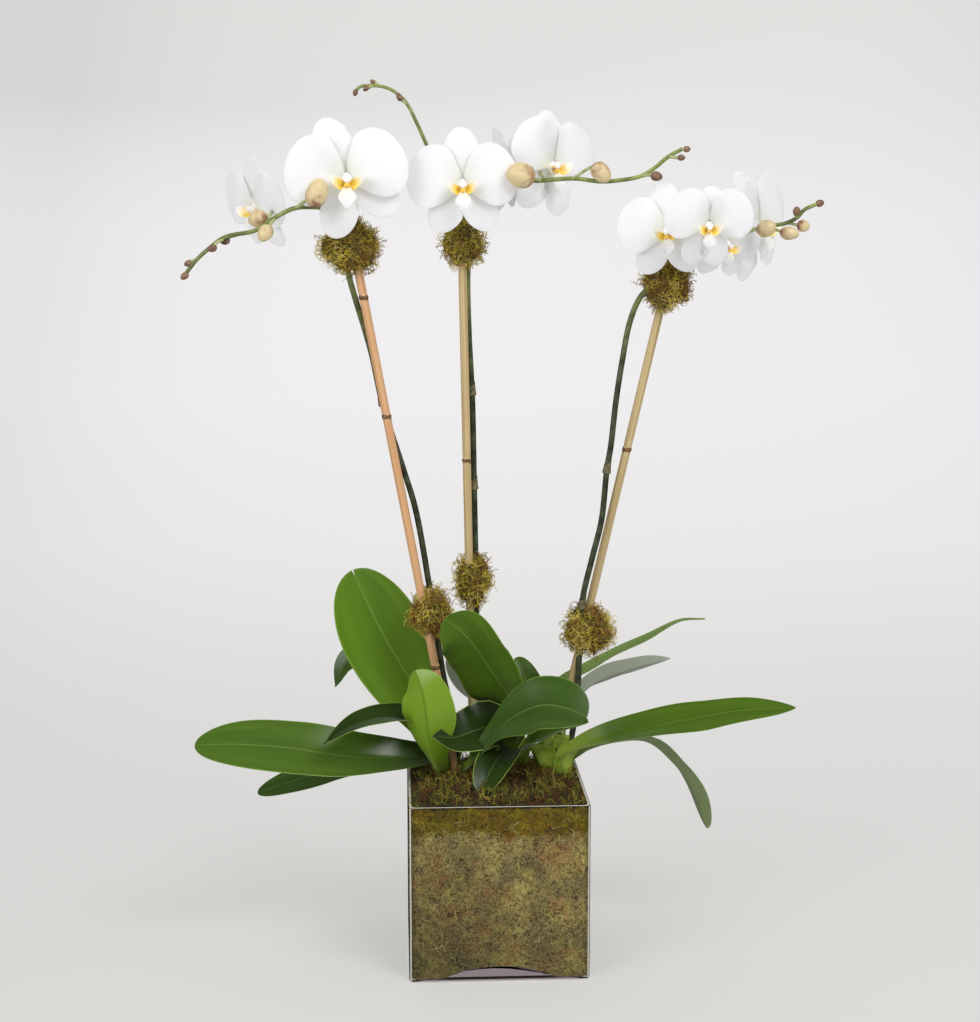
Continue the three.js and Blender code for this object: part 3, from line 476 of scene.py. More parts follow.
class Finish:
    """A material with the shader's own constants, its node tree, and its coordinates: place on
    the object, and uv round and along a skin."""

    def __init__(self, name, **constants):
        self.material = bpy.data.materials.new(name)
        self.material.use_nodes = True
        self.tree = self.material.node_tree
        self.shader = self.tree.nodes["Principled BSDF"]
        coordinates = add(self.tree, "TexCoord", {}).outputs
        self.place, self.uv = coordinates["Object"], coordinates["UV"]
        self.made(**constants)

    def made(self, **values):
        """The material, with more of the shader's sockets set or linked."""
        for word, value in values.items():
            socket = word.replace("_", " ").title().replace("Ior", "IOR")
            plug(self.tree, value, self.shader.inputs[socket])
        return self.material


def spots_per(size_mm):
    """The scale of a noise whose spots are this many millimetres across."""
    return 1 / (size_mm * MM)


def clear_glass(name, roughness, tint, weight):
    """Pressed soda-lime glass: clear, hard and polished. Lamp light goes straight through it, so
    that what stands behind it is lit, and its thick floor looks darker than its walls."""
    glass = Finish(name, roughness=roughness, ior=1.5, base_color=tint, transmission_weight=weight)
    tree, out = glass.tree, glass.tree.nodes["Material Output"].inputs
    lamp_light = add(tree, "LightPath", {}).outputs["Is Shadow Ray"]
    through = add(tree, "BsdfTransparent", {"Color": "#eef4ef"})
    plug(tree, add(tree, "MixShader", {0: lamp_light, 1: glass.shader, 2: through}), out["Surface"])
    plug(tree, add(tree, "VolumeAbsorption", {"Color": "#c6b8bd", "Density": 16.0}), out["Volume"])
    return glass.material


def mottled(name, low, high, spot, roughness, spread=0.15):
    """A matte skin whose tone drifts between two colours in spots of a size in millimetres."""
    skin = Finish(name, roughness=roughness)
    drift = add(skin.tree, "TexNoise", {"Vector": skin.place, "Scale": spots_per(spot),
                                        "Detail": 3.0})
    stops = [(0.5 - spread, low), (0.5 + spread, high)]
    return skin.made(base_color=add(skin.tree, "ValToRGB", {"Fac": drift}, stops))


def dried_moss(name, low, high):
    """A dry moss shoot: matte, and mottled from shoot to shoot."""
    return mottled(name, low, high, 5, 0.85, 0.12)


def moss_ground(name, tones, rust, thread, band=None):
    """A felt of old moss under the shoots: patches of dark and light tones and of rust, crossed by
    the fine curls of its threads, with painted shade in the gaps between the curls. Where it has a
    band, it is fresher near the rim of the vase, and painted shade makes it darker low down and to
    the left."""
    moss = Finish(name, roughness=0.95)
    tree, place = moss.tree, moss.place
    patches = add(tree, "TexNoise", {"Vector": place, "Scale": spots_per(24), "Detail": 4.0,
                                     "Roughness": 0.6})
    ground = add(tree, "ValToRGB", {"Fac": patches}, tones)
    shifted = add(tree, "Mapping", {"Vector": place, "Location": (0.3, 0.1, 0.2)})
    rusty = add(tree, "TexNoise", {"Vector": shifted, "Scale": spots_per(19), "Detail": 4.0})
    rust_share = add(tree, "MapRange", {"Value": rusty, "From Min": 0.54, "From Max": 0.64,
                                        "To Max": 0.8})
    rusted = add(tree, "Mix", {"Factor": rust_share, "A": ground, "B": rust})
    curls = add(tree, "TexNoise", {"Vector": place, "Scale": spots_per(3.8), "Detail": 2.0,
                                   "Roughness": 0.6, "Distortion": 1.8})
    lines = add(tree, "ValToRGB", {"Fac": curls},
                [(0.38, "#000000"), (0.44, "#b4b4b4"), (0.5, "#000000"), (0.56, "#b4b4b4"),
                 (0.64, "#000000")])
    threaded = add(tree, "Mix", {"Factor": lines, "A": rusted, "B": thread})
    # Painted shade: the curls' noise darkens the gaps between them.
    shade = add(tree, "MapRange", {"Value": curls, "From Min": 0.38, "From Max": 0.6,
                                   "To Min": 0.34, "To Max": 1.25})
    colour = add(tree, "Mix", {"Factor": 1.0, "A": threaded, "B": shade}, blend_type="MULTIPLY")
    if band:
        # Painted shade: a falloff of the light that darkens the moss low down and to the left.
        spot = add(tree, "SeparateXYZ", {0: place}).outputs
        slant = add(tree, "Math", {0: spot["X"], 1: 0.8, 2: spot["Z"]}, operation="MULTIPLY_ADD")
        painted_falloff = add(tree, "MapRange", {"Value": slant, "From Min": -0.02, "From Max": 0.12,
                                     "To Min": 0.54, "To Max": 1.21})
        with_falloff = add(tree, "Mix", {"Factor": 1.0, "A": colour, "B": painted_falloff}, blend_type="MULTIPLY")
        ragged = add(tree, "Math", {0: rusty, 1: 0.03, 2: spot["Z"]}, operation="MULTIPLY_ADD")
        rise = add(tree, "MapRange", {"Value": ragged, "From Min": 0.139, "From Max": 0.146})
        colour = add(tree, "Mix", {"Factor": rise, "A": with_falloff, "B": band}, blend_type="MULTIPLY")
    return moss.made(base_color=colour)


def veins(tree, around, count):
    """For a blade: the angle round it, how far across it a point is from -1 to 1, the fine veins
    along it, and the relief that they make."""
    turn = add(tree, "Math", {0: around, 1: 2 * math.pi}, operation="MULTIPLY")
    across = add(tree, "Math", {0: turn}, operation="COSINE")
    place = add(tree, "Math", {0: across, 1: count}, operation="MULTIPLY")
    line = add(tree, "Math", {0: place}, operation="SINE")
    relief = add(tree, "Bump", {"Height": line, "Strength": 0.035, "Distance": 0.0003})
    return turn, across, line, relief


def orchid_leaf(name, dark, light, under, margin=0.3, root="#8ea63c", reach=0.14):
    """A living orchid leaf: thick, smooth and waxy, with fine veins along it, a pale midrib line in
    its groove that is a painted highlight, a thin brighter margin that is partly paler tissue and
    partly painted rim light, and a duller, paler underside with a dark midrib."""
    leaf = Finish(name, roughness=0.3, sheen_weight=0.12, sheen_roughness=0.4)
    tree, uv = leaf.tree, leaf.uv
    split = add(tree, "SeparateXYZ", {0: uv}).outputs
    turn, across, line, relief = veins(tree, split["X"], 95.0)
    side = add(tree, "Math", {0: turn}, operation="SINE")
    out = add(tree, "Math", {0: across}, operation="ABSOLUTE")
    stretch = add(tree, "Mapping", {"Vector": uv, "Scale": (9.0, 1.2, 1.0)})
    streak = add(tree, "TexNoise", {"Vector": stretch, "Scale": 1.0, "Detail": 2.0})
    tone = add(tree, "Math", {0: line, 1: 0.04, 2: streak}, operation="MULTIPLY_ADD")
    green = add(tree, "ValToRGB", {"Fac": tone}, [(0.2, dark), (0.8, light)])
    # Painted highlight: a pale line along the midrib groove of the upper face.
    rib = add(tree, "MapRange", {"Value": out, "From Min": 0.01, "From Max": 0.035,
                                 "To Min": 0.22, "To Max": 0.0})
    above = add(tree, "Mix", {"Factor": rib, "A": green, "B": "#9db860"})
    keel = add(tree, "MapRange", {"Value": out, "From Min": 0.0, "From Max": 0.07,
                                  "To Min": 0.6, "To Max": 0.0})
    below = add(tree, "Mix", {"Factor": keel, "A": under, "B": dark})
    turned_up = add(tree, "Math", {0: side, 1: 0.0}, operation="LESS_THAN")
    both = add(tree, "Mix", {"Factor": turned_up, "A": above, "B": below})
    # Partly painted rim light: the margin is brightened, most in the finish for leaves in painted
    # shade.
    rim = add(tree, "MapRange", {"Value": out, "From Min": 0.955, "From Max": 0.985,
                                 "To Min": 0.0, "To Max": margin})
    edged = add(tree, "Mix", {"Factor": rim, "A": both, "B": "#9db84a"})
    low = add(tree, "MapRange", {"Value": split["Y"], "From Min": 0.03, "From Max": reach,
                                 "To Min": 0.85, "To Max": 0.0})
    rooted = add(tree, "Mix", {"Factor": low, "A": edged, "B": root})
    return leaf.made(base_color=rooted, normal=relief)


def orchid_petal(name, tint, reach):
    """A white petal: soft, matte and a little translucent, tinted where it meets the column."""
    petal = Finish(name, roughness=0.55, subsurface_weight=0.5, subsurface_radius=(1.0, 1.0, 0.9),
                   subsurface_scale=0.006)
    split = add(petal.tree, "SeparateXYZ", {0: petal.uv}).outputs
    base = add(petal.tree, "MapRange", {"Value": split["Y"], "From Min": 0.0, "From Max": reach,
                                        "To Min": 0.7, "To Max": 0.0})
    colour = add(petal.tree, "Mix", {"Factor": base, "A": "#f3f2f2", "B": tint})
    relief = veins(petal.tree, split["X"], 42.0)[-1]
    return petal.made(base_color=colour, normal=relief)


def speckled_throat(name, base, spot, edge, share):
    """The coloured flesh of the lip: yellow, with red brown specks and a paler edge."""
    lip = Finish(name, roughness=0.4, subsurface_weight=0.2, subsurface_scale=0.001)
    tree = lip.tree
    specks = add(tree, "TexNoise", {"Vector": lip.place, "Scale": spots_per(1.3), "Detail": 1.0})
    speck = add(tree, "MapRange", {"Value": specks, "From Min": share, "From Max": share + 0.06})
    spotted = add(tree, "Mix", {"Factor": speck, "A": base, "B": spot})
    along_it = add(tree, "SeparateXYZ", {0: lip.uv}).outputs["Y"]
    rim = add(tree, "MapRange", {"Value": along_it, "From Min": 0.25, "From Max": 0.62})
    return lip.made(base_color=add(tree, "Mix", {"Factor": rim, "A": spotted, "B": edge}))


def flower_stem():
    """A living flower stem: satin, dark and brownish low down, and greener in the spray."""
    stem = Finish("flower_stem", roughness=0.45)
    tree, place = stem.tree, stem.place
    height = add(tree, "SeparateXYZ", {0: place}).outputs["Z"]
    rise = add(tree, "MapRange", {"Value": height, "From Min": 0.5, "From Max": 0.66})
    mottle = add(tree, "TexNoise", {"Vector": place, "Scale": spots_per(9), "Detail": 3.0})
    low = add(tree, "ValToRGB", {"Fac": mottle}, [(0.35, "#2c2f22"), (0.65, "#4c553a")])
    high = add(tree, "ValToRGB", {"Fac": mottle}, [(0.35, "#66703a"), (0.65, "#98a35a")])
    return stem.made(base_color=add(tree, "Mix", {"Factor": rise, "A": low, "B": high}))


def flower_bud():
    """A bud: waxy cream green skin, flushed mauve brown round its base in soft clouds."""
    bud = Finish("flower_bud", roughness=0.42)
    tree = bud.tree
    up = add(tree, "SeparateXYZ", {0: bud.uv}).outputs["Y"]
    cloud = add(tree, "TexNoise", {"Vector": bud.place, "Scale": spots_per(6), "Detail": 3.0})
    flush = add(tree, "Math", {0: up, 1: 0.75, 2: cloud}, operation="MULTIPLY_ADD")
    return bud.made(base_color=add(tree, "ValToRGB", {"Fac": flush},
                                   [(0.45, "#74503f"), (0.62, "#ac8765"), (0.88, "#d8c496")]))


def bamboo(name, pale, deep):
    """Dried bamboo cane: a smooth hard skin with fine fibres along it."""
    cane = Finish(name, roughness=0.42)
    tree = cane.tree
    stretch = add(tree, "Mapping", {"Vector": cane.uv, "Scale": (26.0, 5.0, 1.0)})
    fibres = add(tree, "TexNoise", {"Vector": stretch, "Scale": 1.0, "Detail": 4.0})
    colour = add(tree, "ValToRGB", {"Fac": fibres}, [(0.3, deep), (0.62, pale)])
    relief = add(tree, "Bump", {"Height": fibres, "Strength": 0.15, "Distance": 0.0003})
    return cane.made(base_color=colour, normal=relief)


GLASS = clear_glass("clear_glass", 0.0, "#f6faf7", 1)
# Pale frosted glass on the vase's edges, rim and foot: painted highlight lines.
GLASS_EDGE_HIGHLIGHT = clear_glass("glass_edge_painted_highlight", 0.3, "#fffdf2", 0.42)
# The mound's moss: darker tones than the balls' moss as painted shade from the leaves over it, on a
# near-black ground that is painted shade between its shoots.
TOP_MOSS_IN_PAINTED_SHADE = [
    moss_ground("moss_ground", [(0.35, "#181004"), (0.5, "#291e09"), (0.65, "#3c330e")],
                "#341c0a", "#5c511b"),
    dried_moss("moss_straw", "#86722c", "#ae9648"),
    dried_moss("moss_yellow_green", "#6c6c10", "#949222"),
    dried_moss("moss_olive", "#4a4b0e", "#6c6c18"),
    dried_moss("moss_rust", "#4d2c0c", "#754716"),
]
# The tied balls' moss: a lighter copy of the mound's moss, partly its own dry straw colour and
# partly painted light against the shade of the blooms over it.
BALL_MOSS_PAINTED_LIGHTER = [
    moss_ground("tied_moss_ground", [(0.35, "#3a2c10"), (0.5, "#5e4c1a"), (0.65, "#85742a")],
                "#59391a", "#9a8936"),
    dried_moss("tied_moss_straw", "#bfa650", "#e4cd7c"),
    dried_moss("tied_moss_yellow_green", "#a89822", "#d2c03c"),
    dried_moss("tied_moss_olive", "#7d7020", "#aa9a30"),
    dried_moss("tied_moss_rust", "#70481c", "#9c6a2a"),
]
PACKED_MOSS = [
    moss_ground("packed_moss_ground", [(0.38, "#4a3b3a"), (0.46, "#655541"), (0.54, "#806e4a"),
                                       (0.62, "#998b56")],
                "#7d4e3a", "#c4b65e", "#beb43a"),
    dried_moss("packed_moss_pale", "#9c9158", "#bdb175"),
    dried_moss("packed_moss_green", "#857c3c", "#a99e4e"),
    dried_moss("packed_moss_olive", "#655a36", "#857a44"),
    dried_moss("packed_moss_rust", "#664634", "#8f5c42"),
]
BARK = mottled("bark_and_roots", "#4a3524", "#6d5238", 8, 0.9)
LEAF_FINISHES = dict(
    mid=orchid_leaf("leaf_mid_green", "#3a5a0c", "#557316", "#9aa784"),
    dark=orchid_leaf("leaf_dark_green", "#29440d", "#446020", "#9aa784"),
    bright=orchid_leaf("leaf_bright_green", "#44680a", "#648812", "#8a9c62"),
    # Painted shade: darkens the leaf toward its root, where the leaves over it shade it.
    root_in_painted_shade=orchid_leaf("leaf_root_in_painted_shade", "#3a5a12", "#557320", "#9aa784", root="#1c2a08",
                            reach=0.34),
    fresh=orchid_leaf("leaf_fresh_green", "#43650b", "#658415", "#749622"),
    # Painted shade: a darker copy of the leaf green for leaves that sit in the shade of others,
    # with its margin raised as painted rim light.
    painted_shade=orchid_leaf("leaf_green_in_painted_shade", "#1a2c06", "#2c4010", "#4e5f2a", margin=0.8),
    grey=orchid_leaf("leaf_dark_grey_under", "#2c4416", "#475f26", "#a9b09c"),
    dull=orchid_leaf("leaf_dull_green", "#5a7434", "#7c9450", "#7c8c60"),
)
SHEATH = mottled("leaf_base_pale_green", "#7f9a26", "#aac24a", 12, 0.4)
PETAL_WHITE = orchid_petal("petal_white", "#e6ead0", 0.22)
LIP_WHITE = orchid_petal("lip_white", "#f6e9b0", 0.5)
LIP_YELLOW = speckled_throat("lip_yellow", "#fcdc58", "#f0a03a", "#fcf9ee", 0.6)
LIP_ORANGE = speckled_throat("lip_orange", "#f6b43a", "#da742c", "#f6c850", 0.57)
COLUMN_WHITE = mottled("column_white", "#f3eef0", "#fbf8f6", 4, 0.45)
STEM = flower_stem()
STALK_GREEN = mottled("stalk_pale_green", "#8f9a5a", "#b4b987", 6, 0.45)
BRACT = mottled("dry_bract", "#4a4430", "#7d7350", 3, 0.65)
BUD = flower_bud()
SMALL_BUD = mottled("small_bud_mauve_brown", "#6a4a3c", "#93745a", 3, 0.5)
BAMBOO_HONEY = bamboo("bamboo_honey", "#d9ad80", "#bd8757")
BAMBOO_PALE = bamboo("bamboo_pale", "#cbb485", "#a48a5c")
BAMBOO_NODE = mottled("bamboo_node", "#5a3d26", "#8d6842", 2, 0.6)


# The vase and its filling

def floor_height(out):
    """The height of the domed floor of the vase at a distance from its middle."""
    rise = VASE["floor_middle"] - VASE["floor_edge"]
    return VASE["floor_edge"] + rise * max(0, 1 - (out / VASE["dome"]) ** 4)


def rounded_square(x, half, corner, arc=0.5):
    """A point at a share of the way round a square with round corners. arc is the part of the
    way that the corners take."""
    quarter, part = divmod(4 * (x % 1), 1)
    flat = half - corner
    if part < 1 - arc:
        point = Vector((half, mix(-flat, flat, part / (1 - arc)), 0))
    else:
        angle = (part - 1 + arc) / arc * math.pi / 2
        point = Vector((flat + corner * math.cos(angle), flat + corner * math.sin(angle), 0))
    return Matrix.Rotation(quarter * math.pi / 2, 3, "Z") @ point


def square_skin(bm, profile, around, arc, dent=None):
    """Adds a closed skin round a square. profile lists half width, corner and height from the
    middle of the underside to the middle of the top, where a height of None is the domed floor."""
    rows = len(profile) - 1

    def place(x, y):
        half, corner, height = profile[round(y * rows)]
        point = rounded_square(x, half, min(corner, half), arc)
        point.z = floor_height(point.length) if height is None else height
        return dent(point) if dent else point

    skin(bm, around, rows, place)


def make_vase():
    """The glass vase: its edges are softly rounded, and its upright edges, top rim and foot are
    pale frosted glass as painted highlight lines.
    """
    half, top, inner = VASE["side"] / 2, VASE["side"], INNER_HALF
    corner, inside = VASE["corner"], VASE["inner_corner"]
    soft = [(1.4, 0), (0.7, 0.2), (0.2, 0.7), (0, 1.4)]
    strip = 1.5
    profile = [(0, 0, 0)]
    profile += [(half - out, corner - out, up) for out, up in soft]
    profile += [(half - out, corner - out, top - up) for out, up in reversed(soft)]
    profile += [(inner + out, inside + out, top - up) for out, up in soft]
    profile += [(inner * share, inside * share, None) for share in (1, 0.97, 0.9, 0.8, 0.65)]
    profile += [(inner * share, inside * share, None) for share in (0.5, 0.35, 0.2, 0.1, 0)]
    bm = bmesh.new()
    square_skin(bm, profile, 80, 0.5)
    # Painted highlight lines: the upright edges, the top rim and the foot take the pale edge glass.
    for face in bm.faces:
        middle = face.calc_center_median() / MM
        upright = abs(abs(middle.x) - abs(middle.y)) < 1.4 and middle.xy.length > 1.35 * half
        foot = middle.z < strip and max(abs(middle.x), abs(middle.y)) > half - strip
        if middle.z > top - 0.3 or foot or upright and abs(face.normal.z) < 0.5:
            face.material_index = 1
    add_piece(bm, "glass_vase", "vase", [GLASS, GLASS_EDGE_HIGHLIGHT], 30)


def lumpy(point, size_mm, depth_mm):
    """A height of soft noise, from 0 to depth_mm."""
    return (0.5 + 0.5 * noise.noise(point / size_mm)) * depth_mm


def new_sprigs(shapes, seed):
    """Little shoots of moss, one unit long along Z, which are copied many times. The inner lists
    hold the same shapes, each in one tone of moss."""
    chance = random.Random(seed)
    tones = [[], [], [], []]
    for k in range(shapes):
        bm = bmesh.new()
        turn, curl = chance.uniform(0, 2 * math.pi), chance.uniform(0.12, 0.42)
        side = Vector((math.cos(turn), math.sin(turn), 0))
        bend = Vector((-side.y, side.x, 0)) * chance.uniform(-0.3, 0.3)
        knots = [Vector((0, 0, 0)), side * curl * 0.8 + UP * 0.35, side * curl + bend + UP * 0.7,
                 side * curl * 0.3 + bend + UP * 0.98]
        tube(bm, [knot / MM for knot in knots], 0.034 / MM, 3, 6, swell=lambda s: 1 - 0.5 * s)
        path = Trail(knots)
        for leaflet in range(7):
            point, way = path.at(0.18 + 0.12 * leaflet)
            turn = chance.uniform(0, 2 * math.pi)
            aim = (way * 0.9 + Vector((math.cos(turn), math.sin(turn), 0.1))).normalized()
            length = chance.uniform(0.14, 0.3)
            place = Matrix.Translation(point + aim * length / 2)
            place = place @ UP.rotation_difference(aim).to_matrix().to_4x4()
            bmesh.ops.create_cone(bm, cap_ends=True, segments=3, radius1=0.034, radius2=0,
                                  depth=length, matrix=place)
        for tone, copies in enumerate(tones):
            for face in bm.faces:
                face.material_index = tone + 1
            mesh = bpy.data.meshes.new(f"sprig_{k}_{tone}")
            bm.to_mesh(mesh)
            still = [0.0] * (3 * len(mesh.vertices))
            mesh.vertices.foreach_get("co", still)
            copies.append((mesh, still))
        bm.free()
    return tones


SPRIGS = new_sprigs(7, 3)


def plant(bm, places, chance):
    """Copies shoots into a bmesh. Each place is a point, a direction and a length in mm, and for a
    shoot that is pressed flat the direction it is pressed in. Patches of one tone run into each
    other."""
    for point, aim, length, *pressed in places:
        patch = 2.2 + 3.4 * noise.noise(point / 14) + chance.uniform(-1.3, 1.3)
        mesh, still = chance.choice(SPRIGS[min(3, max(0, int(patch)))])
        turn = UP.rotation_difference(aim).to_matrix().to_4x4()
        turn @= Matrix.Rotation(chance.uniform(0, 2 * math.pi), 4, "Z")
        for wall in pressed:
            turn = Matrix.Scale(0.07, 4, wall) @ turn
        mesh.transform(Matrix.Translation(point * MM) @ turn @ Matrix.Scale(length * MM, 4))
        bm.from_mesh(mesh)
        mesh.vertices.foreach_set("co", still)


def wall_places(count, low, high, chance):
    """Places for shoots that lie flat in the inside of the four glass walls."""
    places = []
    for _ in range(count):
        turn = Matrix.Rotation(chance.randrange(4) * math.pi / 2, 3, "Z")
        x, z = chance.uniform(-INNER_HALF, INNER_HALF), chance.uniform(low, high)
        lean, length = chance.uniform(0, 2 * math.pi), chance.uniform(4.5, 8)
        aim = Vector((math.cos(lean), 0, math.sin(lean)))
        tip = Vector((x, 0, z)) + aim * length
        floor = floor_height(math.hypot(min(abs(x), abs(tip.x)), INNER_HALF)) + 3
        if abs(tip.x) < INNER_HALF - 1 and max(low - 2, floor) < min(z, tip.z) and tip.z < high + 2:
            point = Vector((x, -INNER_HALF - PRESSED - chance.uniform(0.1, 0.5), z))
            places.append((turn @ point, turn @ aim, length, turn @ Vector((0, 1, 0))))
    return places


def somewhere(chance):
    """A random direction."""
    height = chance.uniform(-1, 1)
    turn = chance.uniform(0, 2 * math.pi)
    flat = math.sqrt(1 - height**2)
    return Vector((flat * math.cos(turn), flat * math.sin(turn), height))


def make_moss_lining():
    """Moss pressed against the glass: a cup that touches it, and shoots flat on the glass."""
    half, corner, top = INNER_HALF + PRESSED, VASE["inner_corner"], ROOTS["top"]
    wall_rows = 60
    low = VASE["floor_edge"] + 1
    profile = [(half * share, corner * share, None) for share in (0, 0.25, 0.5, 0.7, 0.85, 0.95)]
    profile += [(half, corner, mix(low, top - 1, k / wall_rows)) for k in range(wall_rows + 1)]
    profile += [(half, corner, top), (ROOTS["half"], ROOTS["corner"] / 2, top)]
    profile += [(ROOTS["half"], ROOTS["corner"] / 2, ROOTS["bottom"]), (0, 0, ROOTS["bottom"])]

    def dent(point):
        floor = floor_height(point.xy.length) + GLASS_GAP
        if abs(point.z - floor + GLASS_GAP) < 0.01:
            point.z = floor
        if max(abs(point.x), abs(point.y)) > half - 1:
            point.z = max(point.z, floor)
        return point

    bm = bmesh.new()
    square_skin(bm, profile, 264, 0.1, dent)
    chance = random.Random(21)
    plant(bm, wall_places(2600, 6, top, chance), chance)
    add_piece(bm, "packed_moss_lining", "moss_lining", PACKED_MOSS)


def make_moss_top():
    """Moss over the roots: a low lumpy mound, thick with shoots."""
    half, corner = INNER_HALF + PRESSED, VASE["inner_corner"]
    bottom = ROOTS["top"]
    edge, mound = MOSS_TOP["edge"], MOSS_TOP["mound"]

    def surface(x, y):
        share = (1 - (x / half) ** 2) * (1 - (y / half) ** 2)
        return edge - 3 + mound * share + lumpy(Vector((x, y, 7)), 9, 5)

    rings = 34
    profile = [(0, 0, bottom), (half, corner, bottom)]
    profile += [(half * (1 - k / rings), corner * (1 - k / rings), edge) for k in range(rings + 1)]

    def dent(point):
        if point.z > bottom + 1:
            point.z = surface(point.x, point.y)
        return point

    bm = bmesh.new()
    square_skin(bm, profile, 144, 0.1, dent)
    for face in bm.faces:
        if abs(face.normal.z) < 0.3:
            face.material_index = len(TOP_MOSS_IN_PAINTED_SHADE)
    chance = random.Random(22)
    places = wall_places(330, bottom, edge - 3, chance)
    for _ in range(2500):
        x, y = chance.uniform(-half + 2, half - 2), chance.uniform(-half + 2, half - 2)
        aim = (somewhere(chance) + UP * 0.55).normalized()
        length = chance.uniform(6, 11)
        tip = Vector((x, y, 0)) + aim * length
        if max(abs(tip.x), abs(tip.y)) < half - 1:
            places.append((Vector((x, y, surface(x, y) - 1)), aim, length))
    plant(bm, places, chance)
    add_piece(bm, "moss_top_mound", "moss_top", TOP_MOSS_IN_PAINTED_SHADE + PACKED_MOSS[:1])


def make_moss_ball(ball):
    """A clump of moss tied round stem and stake: a dark heart of old moss, darkened further as
    painted shade between the shoots, in a nest of curled shoots.
    """
    chance = random.Random(ball["seed"])
    middle, half = Vector(ball["at"]), Vector(ball["half"])
    offset = Vector((ball["seed"], 0, 0))

    def swell(out):
        return 0.9 + 0.3 * noise.noise(out * 1.9 + offset)

    bm = bmesh.new()
    for corner in bmesh.ops.create_icosphere(bm, subdivisions=4, radius=1)["verts"]:
        corner.co = (middle + corner.co * half * 0.84 * swell(corner.co)) * MM
    bm.loops.layers.uv.verify()
    places = []
    for _ in range(int(half.x * half.z * 1.7)):
        out = somewhere(chance)
        aim = (out * chance.uniform(0.1, 0.9) + somewhere(chance)).normalized()
        start = half * swell(out) * chance.uniform(0.8, 0.97)
        places.append((middle + out * start - aim * 2, aim, chance.uniform(5, 9.5)))
    plant(bm, places, chance)
    add_piece(bm, ball["name"] + "_tuft", ball["name"], BALL_MOSS_PAINTED_LIGHTER)


for ball in BALLS:
    make_moss_ball(ball)
make_vase()
make_moss_lining()
make_moss_top()


# Stakes, crowns and flower stems

def make_stake(stake):
    """A bamboo cane with raised rings at its joints and a plain sawn end."""
    foot, head = Vector(stake["foot"]), Vector(stake["head"])
    rise = (head - foot).normalized()
    bottom = foot + rise * ((STAKE_BOTTOM - foot.z) / rise.z)
    length = (head - bottom).length
    marks = [(0, 0), (0, STAKE_RADIUS)]
    step = 0
    joints = [(joint - bottom.z) / rise.z for joint in stake["joints"]]
    while step < length - 6:
        step += 6 if all(abs(step - joint) > 9 for joint in joints) else 1
        swell = max([0, *(math.exp(-((step - joint) / 1.6) ** 2) for joint in joints)])
        neck = max([0, *(math.exp(-((step - joint - 3) / 1.5) ** 2) for joint in joints)])
        marks.append((step, STAKE_RADIUS * (1 + 0.16 * swell - 0.05 * neck)))
    marks += [(length - 0.6, STAKE_RADIUS), (length, STAKE_RADIUS - 0.5), (length, 0)]
    rows = len(marks) - 1
    bm = bmesh.new()

    def profile(x, y):
        height, radius = marks[round(y * rows)]
        return radius, height

    turned(bm, bottom, rise, profile, 16, rows)
    dark = [bottom.z + rise.z * joint for joint in joints]
    for face in bm.faces:
        height = face.calc_center_median().z / MM
        if any(-2.2 < height - joint < 1.4 for joint in dark):
            face.material_index = 1
    finish = BAMBOO_HONEY if stake["name"] == "stake_left" else BAMBOO_PALE
    add_piece(bm, stake["name"].replace("stake", "bamboo_stake"), stake["name"],
              [finish, BAMBOO_NODE])


for stake in STAKES:
    make_stake(stake)


def make_crown(crown):
    """The short stout stem of a plant, wrapped in a fan of the pale bases of its leaves."""
    (x, y), (half_x, half_y), top = crown["at"], crown["half"], crown["top"]
    bottom = ROOTS["top"] + 2 * GLASS_GAP
    marks = [(0, bottom), (0.55, bottom), (0.5, bottom + 10), (0.45, top - 22), (0.4, top - 14),
             (0.2, top - 8), (0, top - 7)]
    rows = len(marks) - 1
    bm = bmesh.new()
    turned(bm, (0, 0, 0), UP, lambda share, row: marks[round(row * rows)], 36, rows)
    bmesh.ops.transform(bm, matrix=Matrix.Diagonal((half_x, half_y * 0.8, 1, 1)), verts=bm.verts)
    bmesh.ops.translate(bm, vec=(x * MM, y * MM, 0), verts=bm.verts)
    for lean, size, rise in ((-1.15, 1.15, -7), (1.05, 1.1, -4), (-0.6, 0.9, 1), (0.55, 0.85, 3)):
        foot = Vector((x + 0.5 * lean * half_x, y, bottom + 4))
        tip = Vector((x + 1.0 * lean * half_x, y, top + rise))
        path = Trail([foot, mix(foot, tip, 0.5) - Vector((lean * 2, 0, 0)), tip])
        inward = Vector((-lean, 0, 0.1)).normalized()

        def middle(s, t, path=path, inward=inward, size=size):
            point, way = path.at(s)
            normal = (inward - way * inward.dot(way)).normalized()
            across = way.cross(normal)
            half = half_x * size * mix(0.75, 0.95, s) * math.sqrt(max(0.01, 1 - s**9))
            bend = math.radians(66) * min(1, 2.5 * abs(t))
            lift = math.sin(bend) * half * abs(t)
            point = point + across * t * half * math.cos(bend) + normal * lift
            turn = math.copysign(bend, t)
            return point, normal * math.cos(turn) - across * math.sin(turn)

        blade(bm, middle, lambda s, t: mix(2.0, 1.0, abs(t)), 36, 22)
    add_piece(bm, crown["name"].replace("crown", "leaf_bases"), crown["name"], [SHEATH])


for crown in CROWNS:
    make_crown(crown)


def stalk_path(bloom):
    """The stalk of a bloom: from the spray round to the back of the bloom."""
    start, front = Vector(bloom["start"]), Vector(bloom["looks"]).normalized()
    end = Vector(bloom["at"]) - front * STALK_DEPTH * bloom["size"]
    behind = end - front * STALK_BEND
    middle = start.lerp(behind, 0.6) - front * STALK_BEND / 2
    return [start, middle, behind, end]


